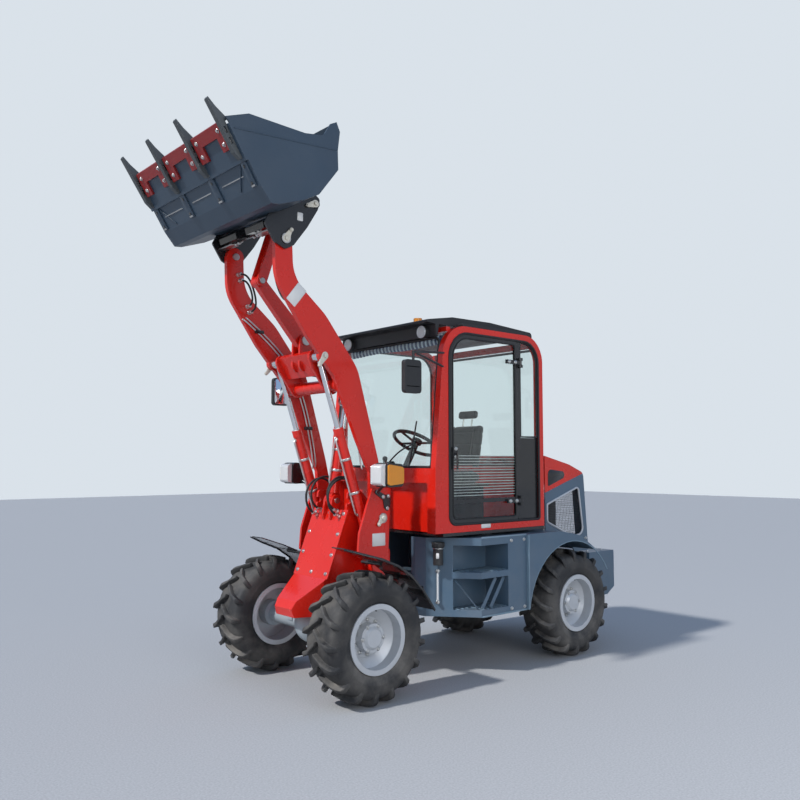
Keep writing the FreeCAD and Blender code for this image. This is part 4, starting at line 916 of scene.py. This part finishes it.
# Wiper: a motor box under the glass, a bent arm and a blade with its rubber.
# (y, z, distance from the glass) along the arm
arm_rows = [(0.10, 1.520, 0.012), (0.15, 1.560, 0.022), (0.27, 1.635, 0.022), (0.36, 1.660, 0.016)]
arm = meshed(curve_of("wiper_arm", [spot(shield(z) + off, y, z) for y, z, off in arm_rows], 0.006))
blade = flat_bar("blade", spot(shield(1.52) + 0.010, 0.34, 1.520), spot(shield(1.83) + 0.010, 0.385, 1.830),
                 (0.010, 0, 0.001), (0, 0.008, 0))
motor = drum("motor", spot(shield(1.52) - 0.002, 0.10, 1.520), spot(shield(1.52) + 0.020, 0.10, 1.520), 0.017)
mount(one("wiper", arm, blade, motor), "rear_frame", black)
# Roof trim: ribs pressed into the roof, lamp rims, and ribs round the beacon's lens.
parts = []
for y in (-0.36, -0.12, 0.12, 0.36):
    ridge = [spot(x, y, z) for x, z in ((-0.66, 2.5655), (-0.20, 2.5965), (0.02, 2.5962))]
    parts.append(meshed(curve_of("ridge", ridge, 0.0065, straight=True)))
mount(one("roof_ridges", *parts), "rear_frame", plastic)


def circle(centre, across, along, count):
    """Points round a centre; across and along are its two radii as vectors."""
    turns = [2 * math.pi * k / count for k in range(count)]
    return [centre + across * math.cos(turn) + along * math.sin(turn) for turn in turns]


parts = []
for y in (-0.439, 0.439):
    ring = circle(spot(0.4065, y, 2.476), left * 0.0415, up * 0.0415, 32)
    parts.append(meshed(curve_of("rim", ring, 0.0042, closed=True, straight=True)))
mount(one("work_lamp_rims", *parts), "rear_frame", silver)
parts = []
for z in (2.622, 2.632, 2.642, 2.652):
    ring = circle(spot(0.095, 0.060, z), front * 0.0342, left * 0.0342, 24)
    parts.append(meshed(curve_of("rib", ring, 0.0016, closed=True, straight=True, fineness=1)))
mount(one("beacon_ribs", *parts), "rear_frame", amber_lens)
mirror_glass = coated("mirror_glass", (0.86, 0.88, 0.90), gloss=0.03, metal=1.0, wear=0.0, dust=0.1,
                      grain=0.0)
for name, side in sides:
    glass_rows = upright_rows(0.752, 1.996, 0.878, 2.194, 0.020, 0.020)
    points = [spot(p.x, side * 0.7776, p.y) for p in rounded(glass_rows)]
    if side < 0:
        points.reverse()
    mount(sheet_of("mirror_glass_" + name, points[::-1], 0.0012, edge=0.0004), "rear_frame", mirror_glass)
    parts = [flat_bar("rib", spot(0.760, side * 0.8118, z), spot(0.870, side * 0.8118, z), up * 0.006,
                      left * 0.0004)
             for z in (2.03, 2.16)]
    mount(one("mirror_ribs_" + name, *parts), "rear_frame", plastic)
mount(label("sill_label", spot(-0.070, 0.6203, 1.067), front * 0.050, up * 0.016, left), "rear_frame", blank)
# Bars behind the lower door glass, on the door's own frame, and the bolts of its hinges and handle.
parts = []
for k in range(15):
    z = 1.292 + 0.0205 * k
    parts.append(drum("rod", spot(-0.410, 0.6035, z), spot(0.266, 0.6035, z), 0.0024, sides=8, edge=0))
mount(one("door_bars", *parts), "door", silver)
rows = [(spot(x, 0.6385, z), left) for z in (1.240, 2.300) for x in (-0.395, -0.325)]
bolted("hinge_bolts", rows, "door")
rows = [(spot(0.250, 0.6345, z), left) for z in (1.572, 1.628)]
bolted("handle_bolts", rows, "door")


# Inside: a moulded seat with bolsters, blown up as cloth over its foam and then sewn, with a
# headrest; lever knobs, a boss on the wheel and a ribbed floor mat.
finish(black, "seat_base")
finish(plastic, "steering_wheel")


def blown(piece, cap, low_z=None):
    """The pad filled as cloth. No point moves further than the cap, or below its seat pan."""
    modify(piece, "REMESH", mode="VOXEL", voxel_size=0.006)
    before = [point.co.copy() for point in piece.data.vertices]
    cloth = piece.modifiers.new("cloth", "CLOTH")
    cloth.settings.use_pressure = True
    cloth.settings.uniform_pressure_force = 4
    cloth.settings.effector_weights.gravity = 0
    cloth.point_cache.frame_end = 20
    for step in range(1, 21):
        bpy.context.scene.frame_set(step)
    bpy.context.view_layer.objects.active = piece
    bpy.ops.object.modifier_apply(modifier=cloth.name)
    bpy.context.scene.frame_set(1)
    for point, old in zip(piece.data.vertices, before):
        move = point.co - old
        if move.length > cap:
            point.co = old + move.normalized() * cap
    if low_z is not None:
        for point in piece.data.vertices:
            point.co.z = max(point.co.z, low_z)
    return piece


def sewn(piece, lines, along, depth=0.006, half=0.006):
    """Presses sewn channels into a pad: lines are places along a direction."""
    for point in piece.data.vertices:
        place = point.co.dot(along)
        for line in lines:
            push = depth * math.exp(-((place - line) / half) ** 2)
            if push > 0.0002:
                point.co -= point.normal * push
    return smooth(modify(piece, "SUBSURF", levels=1), 180)


def pad_block(name, low, high):
    return block(name, low, high, 0.022)


middle_x = mid_x - 0.300
base = one("seat_cushion",
           pad_block("pan", (middle_x - 0.170, -0.140, 1.386), (middle_x + 0.205, 0.140, 1.430)),
           pad_block("bolster", (middle_x - 0.172, 0.125, 1.384), (middle_x + 0.200, 0.205, 1.440)),
           pad_block("bolster", (middle_x - 0.172, -0.205, 1.384), (middle_x + 0.200, -0.125, 1.440)))
blown(base, 0.022, 1.3662)
sewn(base, [mid_x - 0.36, mid_x - 0.27, mid_x - 0.18], front)
back = one("seat_backrest", pad_block("slab", (-0.022, -0.130, -0.195), (0.022, 0.130, 0.180)),
           pad_block("bolster", (-0.026, 0.115, -0.190), (0.034, 0.190, 0.165)),
           pad_block("bolster", (-0.026, -0.190, -0.190), (0.034, -0.115, 0.165)))
head = pad_block("seat_headrest", (-0.018, -0.105, 0.222), (0.026, 0.105, 0.290))
tilt = Matrix.Translation(spot(-0.478, 0, 1.672)) @ Matrix.Rotation(math.radians(-10.9), 4, "Y")
lean_up = Vector((-math.sin(math.radians(10.9)), 0, math.cos(math.radians(10.9))))
heart = (spot(-0.478, 0, 1.672)).dot(lean_up)
for piece in (back, head):
    piece.data.transform(tilt)
blown(back, 0.020)
sewn(back, [heart - 0.10, heart, heart + 0.10], lean_up)
blown(head, 0.018)
sewn(head, [], lean_up)

# Cloth: two sets of threads, faded in patches.
weave, given, result = effect("weave",
                              [("Colour", "colour"), ("Light", "colour"), ("Pitch", "value"),
                               ("Depth", "value")],
                              [("Colour", "colour"), ("Normal", "vector")])
here = put(weave, "TexCoord").outputs["Object"]
warp = put(weave, "TexWave", {"bands_direction": "Y"}, Vector=here, Scale=given["Pitch"], Distortion=0.6)
weft = put(weave, "TexWave", {"bands_direction": "DIAGONAL"}, Vector=here, Scale=given["Pitch"],
           Distortion=0.6)
cross = times(weave, warp.outputs["Fac"], weft.outputs["Fac"])
fade = noise(weave, here, 9.0, 5.0)
lit = times(weave, cross.outputs[0], fade.outputs["Fac"])
thread = put(weave, "MixRGB", Fac=lit.outputs[0], Color1=given["Colour"], Color2=given["Light"])
raised = put(weave, "Bump", Strength=given["Depth"], Distance=0.001, Height=cross.outputs[0])
weave.links.new(thread.outputs[0], result["Colour"])
weave.links.new(raised.outputs[0], result["Normal"])


def woven(name, colour, light, pitch, depth, roughness):
    """A cloth: two sets of threads and a soft sheen."""
    material, tree, shader = shaded(name)
    group = put(tree, "Group", {"node_tree": weave}, Colour=(*colour, 1), Light=(*light, 1), Pitch=pitch,
                Depth=depth)
    tree.links.new(group.outputs["Colour"], shader.inputs["Base Color"])
    tree.links.new(group.outputs["Normal"], shader.inputs["Normal"])
    shader.inputs["Roughness"].default_value = roughness
    shader.inputs["Sheen Weight"].default_value = 0.3
    return material


seat_cloth = woven("seat_cloth", (0.012, 0.012, 0.014), (0.06, 0.06, 0.065), 150.0, 0.35, 0.75)
for piece in (base, back, head):
    mount(piece, "rear_frame", seat_cloth)
    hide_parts("seat")
posts = [meshed(curve_of("post", [tilt @ Vector((0, y, 0.16)), tilt @ Vector((0, y, 0.24))], 0.006,
                         straight=True))
         for y in (-0.05, 0.05)]
mount(one("headrest_posts", *posts), "rear_frame", steel)
parts = [block("runner", spot(-0.475, y, 1.3405), spot(-0.085, y + 0.020, 1.3655), 0.003)
         for y in (-0.16, 0.14)]
mount(one("seat_runners", *parts), "rear_frame", steel)
for name, at in (("long", (0.090, -0.345, 1.560)), ("short", (0.010, -0.345, 1.520))):
    bpy.ops.mesh.primitive_uv_sphere_add(segments=24, ring_count=16, radius=0.021, location=spot(*at))
    knob = settle("lever_knob_" + name)
    collar = drum("collar", spot(*at) - up * 0.040, spot(*at) - up * 0.010, 0.013, end_radius=0.017)
    mount(smooth(one("lever_knob_" + name, knob, collar)), "rear_frame", plastic)
parts = []
for k in range(7):
    x = -0.060 + 0.030 * k
    parts.append(block("ridge", spot(x, -0.235, 1.0335), spot(x + 0.012, 0.235, 1.0375), 0.001))
mount(one("floor_mat_ribs", *parts), "rear_frame", rubber)
wheel_at, wheel_way = spot(0.060, 0, 1.680), Vector((-0.5, 0, 0.866))
mount(drum("wheel_boss", wheel_at + wheel_way * 0.026, wheel_at + wheel_way * 0.036, 0.036, edge=0.004),
      "rear_frame", plastic)


# Sun blind: pleated cloth gathered along the windshield's header, hanging from a thin rail. Each
# pleat's front is a pale band.
pleats, pitch = 25, 0.0424
# (share of the pitch, share of the pleat's depth)
profile = ((0.0, 0.0), (0.18, 0.10), (0.34, 0.72), (0.42, 0.94), (0.50, 1.0), (0.58, 0.94), (0.66, 0.72),
           (0.82, 0.10))
points, faces, pale = [], [], []
rows = [(k + part) * pitch for k in range(pleats) for part, _ in profile] + [pleats * pitch]
depths = [depth for _ in range(pleats) for _, depth in profile] + [0.0]
levels = ((0.0, 0.35), (0.25, 0.85), (0.55, 1.0), (0.82, 0.80), (1.0, 0.40))
for k, (along, depth) in enumerate(zip(rows, depths)):
    y = along - pleats * pitch / 2
    for share, bulge in levels:
        z = 2.454 - share * (0.074 + 0.005 * math.sin(y * 9))
        points.append(spot(shield(2.428) - 0.052 + 0.030 * depth * bulge, y, z))
for i in range(len(rows) - 1):
    for k in range(len(levels) - 1):
        a, b = i * len(levels) + k, (i + 1) * len(levels) + k
        faces.append((a, a + 1, b + 1, b))
        pale.append(2 <= i % len(profile) <= 5)
blind = from_faces("sun_blind_cloth", points, faces)
blind_cloth = woven("blind_cloth", (0.022, 0.045, 0.15), (0.10, 0.15, 0.30), 120.0, 0.3, 0.7)
blind.data.materials.append(blind_cloth)
blind_pale = woven("blind_pale", (0.42, 0.50, 0.62), (0.62, 0.68, 0.76), 120.0, 0.3, 0.7)
blind.data.materials.append(blind_pale)
for face, light in zip(blind.data.polygons, pale):
    face.material_index = int(light)
modify(blind, "SOLIDIFY", thickness=0.0012, offset=0)
modify(blind, "SUBSURF", levels=1)
smooth(blind, 180)
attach(blind, "rear_frame")
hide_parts("sun_blind")
rail_x = shield(2.428) - 0.040
rail = block("blind_rail", spot(rail_x - 0.010, -0.545, 2.4555), spot(rail_x + 0.010, 0.545, 2.463), 0.002)
mount(rail, "rear_frame", silver)


# Side boxes: the tank's filler with its cap and tag, a sight tube on the sloping face, struts
# in the lower step recess, a flange at the rear edge and a strip along the deck. The step ridges,
# flange, strip and foot are a lighter copy of the slate paint: a painted highlight.
finish(slate, "side_boxes", "rear_fenders")
finish(plastic, "filler")
slope_way, slope_out = Vector((0.6475, -0.762, 0)), Vector((0.762, 0.6475, 0))
# A lighter copy of the slate paint in the colour of its sunlit faces: a painted highlight on the pieces that
# wear it.
slate_lit_copy = coated("slate_painted_highlight", (0.17, 0.26, 0.33), gloss=0.36, coat=0.15, wear=0.5, dust=0.4)
for name, side in sides:
    tread_parts = []
    for low in (0.4805, 0.7455):
        for k in range(9):
            x = -0.205 + 0.046 * k
            outer = side * (0.690 if x < 0.06 else 0.58)
            tread_parts.append(block("bar", spot(x, side * 0.480, low), spot(x + 0.010, outer, low + 0.005),
                                     0.001))
    mount(one("step_ridges_" + name, *tread_parts), "rear_frame", slate_lit_copy)
    # (x, y and z at one end and at the other, width along x)
    strut_rows = [(0.176, 0.535, 0.694, 0.055, 0.650, 0.486, 0.030),
                  (0.030, 0.672, 0.486, -0.110, 0.672, 0.694, 0.026),
                  (-0.055, 0.672, 0.486, -0.200, 0.672, 0.694, 0.026)]
    parts = [flat_bar("strut", spot(x0, side * y0, z0), spot(x1, side * y1, z1), (wide, 0, 0.016),
                      left * 0.008)
             for x0, y0, z0, x1, y1, z1, wide in strut_rows]
    mount(one("step_struts_" + name, *parts), "rear_frame", slate)
    parts = [block("flange", spot(-0.433, side * 0.697, 0.432), spot(-0.424, side * 0.727, 0.986), 0.0015),
             block("strip", spot(-0.425, side * 0.694, 0.984), spot(0.060, side * 0.704, 0.996), 0.002),
             block("foot", spot(-0.425, side * 0.694, 0.428), spot(0.058, side * 0.704, 0.440), 0.002)]
    mount(one("box_edges_" + name, *parts), "rear_frame", slate_lit_copy)
    rows = [(spot(x, side * 0.7005, z), left * side) for z in (0.955, 0.460) for x in (-0.255, -0.40)]
    bolted("box_bolts_" + name, rows, "rear_frame")
tube_at = spot(0.266, 0.461, 0) + slope_out * 0.020
rise = [tube_at + up * z for z in (0.540, 0.750)]
tube = drum("sight_tube", *rise, 0.0075, edge=0)
mount(tube, "rear_frame", clear_lens)
ends = []
for z in (0.535, 0.755):
    at = tube_at + up * z
    ends.append(drum("fitting", at - slope_out * 0.022, at + slope_out * 0.014, 0.0135, sides=24))
mount(one("sight_fittings", *ends), "rear_frame", zinc)
neck = spot(0.262, 0.466, 0) + slope_out * 0.042
parts = []
for at in circle(neck, front * 0.0445, left * 0.0445, 24):
    if (at - spot(0.262, 0.466, 0)).dot(slope_out) > 0.002:
        parts.append(drum("grip", at + up * 0.930, at + up * 0.957, 0.003, sides=8, edge=0))
mount(one("filler_grips", *parts), "rear_frame", plastic)
ring = circle(neck + up * 0.918, front * 0.0385, left * 0.0385, 36)
mount(meshed(curve_of("filler_ring", ring, 0.0042, closed=True, straight=True)), "rear_frame", zinc)
tag_at = neck + slope_out * 0.0365 + up * 0.868
mount(label("filler_tag", tag_at, slope_way * 0.011, up * 0.020, slope_out), "rear_frame", blank)
# The rear fenders' rolled edges, in the lighter copy of the slate paint: a painted highlight.
for name, side in sides:
    arc = [spot(-0.985 + 0.533 * math.cos(a), side * 0.7045, 0.372 + 0.533 * math.sin(a))
           for a in [math.radians(14 + 7.5 * k) for k in range(19)]]
    mount(meshed(curve_of("arch_edge_" + name, arc, 0.0045, straight=True)), "rear_frame", slate_lit_copy)


# Lamps: a clear head lamp and an amber signal in a black housing on each side of the tower. Their
# moulded lenses are ribbed inside and sit in black plastic rims.
finish(black, "lamp_housings")
finish(clear_lens, "lamp_lenses")
repaint("lamp_lenses", amber_lens, lambda at, out: abs(at.y) > 0.6195)
for name, side in sides:
    rows = upright_rows(0.505, 1.374, 0.615, 1.522, 0.020, 0.020)
    mount(bead("lamp_rim_" + name, rows, lambda a, b: spot(0.884, side * a, b), 0.0055), "front_frame",
          plastic)
    rows = [(0.745, 1.392, 0.020), (0.745, 1.498, 0.020), (0.877, 1.518, 0.015), (0.877, 1.380, 0.015)]
    mount(bead("signal_rim_" + name, rows, lambda a, b: spot(a, side * 0.622, b), 0.0042), "front_frame",
          plastic)


# Hood: slate sides with framed openings and wire mesh, a red top with a dark panel on each
# side, the bolts along its lower edge, and a short chain.
finish(red, "hood_top")
finish(slate, "hood_sides")


def mesh_of(name, outline, place, cell, wire):
    """A square wire mesh that fills an outline; place puts its points in space."""
    shape = rounded(outline)
    low_a, high_a = min(p.x for p in shape), max(p.x for p in shape)
    low_b, high_b = min(p.y for p in shape), max(p.y for p in shape)
    wide, tall = round((high_a - low_a) / cell), round((high_b - low_b) / cell)

    def inside(a, b):
        hit = False
        for p, q in zip(shape, shape[1:] + shape[:1]):
            if (p.y > b) != (q.y > b) and a < (q.x - p.x) * (b - p.y) / (q.y - p.y) + p.x:
                hit = not hit
        return hit

    number, points, faces = {}, [], []
    for i in range(wide):
        for k in range(tall):
            corners = [(low_a + cell * (i + di), low_b + cell * (k + dk))
                       for di, dk in ((0, 0), (1, 0), (1, 1), (0, 1))]
            if not all(inside(a, b) for a, b in corners):
                continue
            face = []
            for a, b in corners:
                key = (round(a, 5), round(b, 5))
                if key not in number:
                    number[key] = len(points)
                    points.append(place(a, b))
                face.append(number[key])
            faces.append(face)
    piece = from_faces(name, points, faces)
    return modify(piece, "WIREFRAME", thickness=wire, use_even_offset=False, use_boundary=True)


window_rows = [(-0.985, 1.185, 0.015), (-1.406, 1.322, 0.030), (-1.466, 0.920, 0.060), (-1.310, 0.905, 0.090),
               (-0.985, 1.040, 0.030)]
for name, side in sides:
    mount(bead("window_frame_" + name, window_rows, lambda a, b: spot(a, side * 0.4505, b), 0.0085), "hood",
          silver)
    screen = mesh_of("hood_mesh_" + name, window_rows, lambda a, b: spot(a, side * 0.4435, b), 0.0135, 0.0022)
    mount(screen, "hood", black)
    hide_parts("hood_grilles")
    panel_rows = [(-1.000, 1.330, 0.012), (-1.000, 1.475, 0.040), (-1.330, 1.440, 0.030)]
    points = [spot(p.x, side * 0.4503, p.y) for p in rounded(panel_rows)]
    if side > 0:
        points.reverse()
    mount(sheet_of("hood_panel_" + name, points, 0.0015, edge=0.0004), "hood", black)
tail_rows = upright_rows(-0.330, 0.900, 0.330, 1.330, 0.010, 0.010)


def on_tail(a, b):
    return spot(-1.5245 + (b - 0.857) * 51 / 577, a, b)


mount(bead("tail_frame", tail_rows, lambda a, b: on_tail(a, b) - front * 0.005, 0.0085), "hood", silver)
mount(mesh_of("hood_mesh_tail", tail_rows, on_tail, 0.0165, 0.0024), "hood", black)
rows = [(spot(x, side * 0.4505, z), left * side) for side in (1, -1)
        for x, z in ((-0.985, 0.875), (-1.26, 0.875), (-1.500, 0.880))]
bolted("hood_bolts", rows, "hood")
# The hood's safety chain hangs from the deck to the cab's rear corner.
parts = []
for k in range(9):
    z = 1.100 - 0.0135 * k
    turn = front if k % 2 else left
    ring = circle(spot(-0.756, 0.600, z), turn * 0.0050, up * 0.0095, 16)
    parts.append(meshed(curve_of("chain_link", ring, 0.0017, closed=True, straight=True, fineness=1)))
mount(one("hood_chain", *parts), "rear_frame", zinc)
rear = -front
bolted("chain_bolt", [(spot(-0.7405, 0.600, 1.112), rear)], "rear_frame")
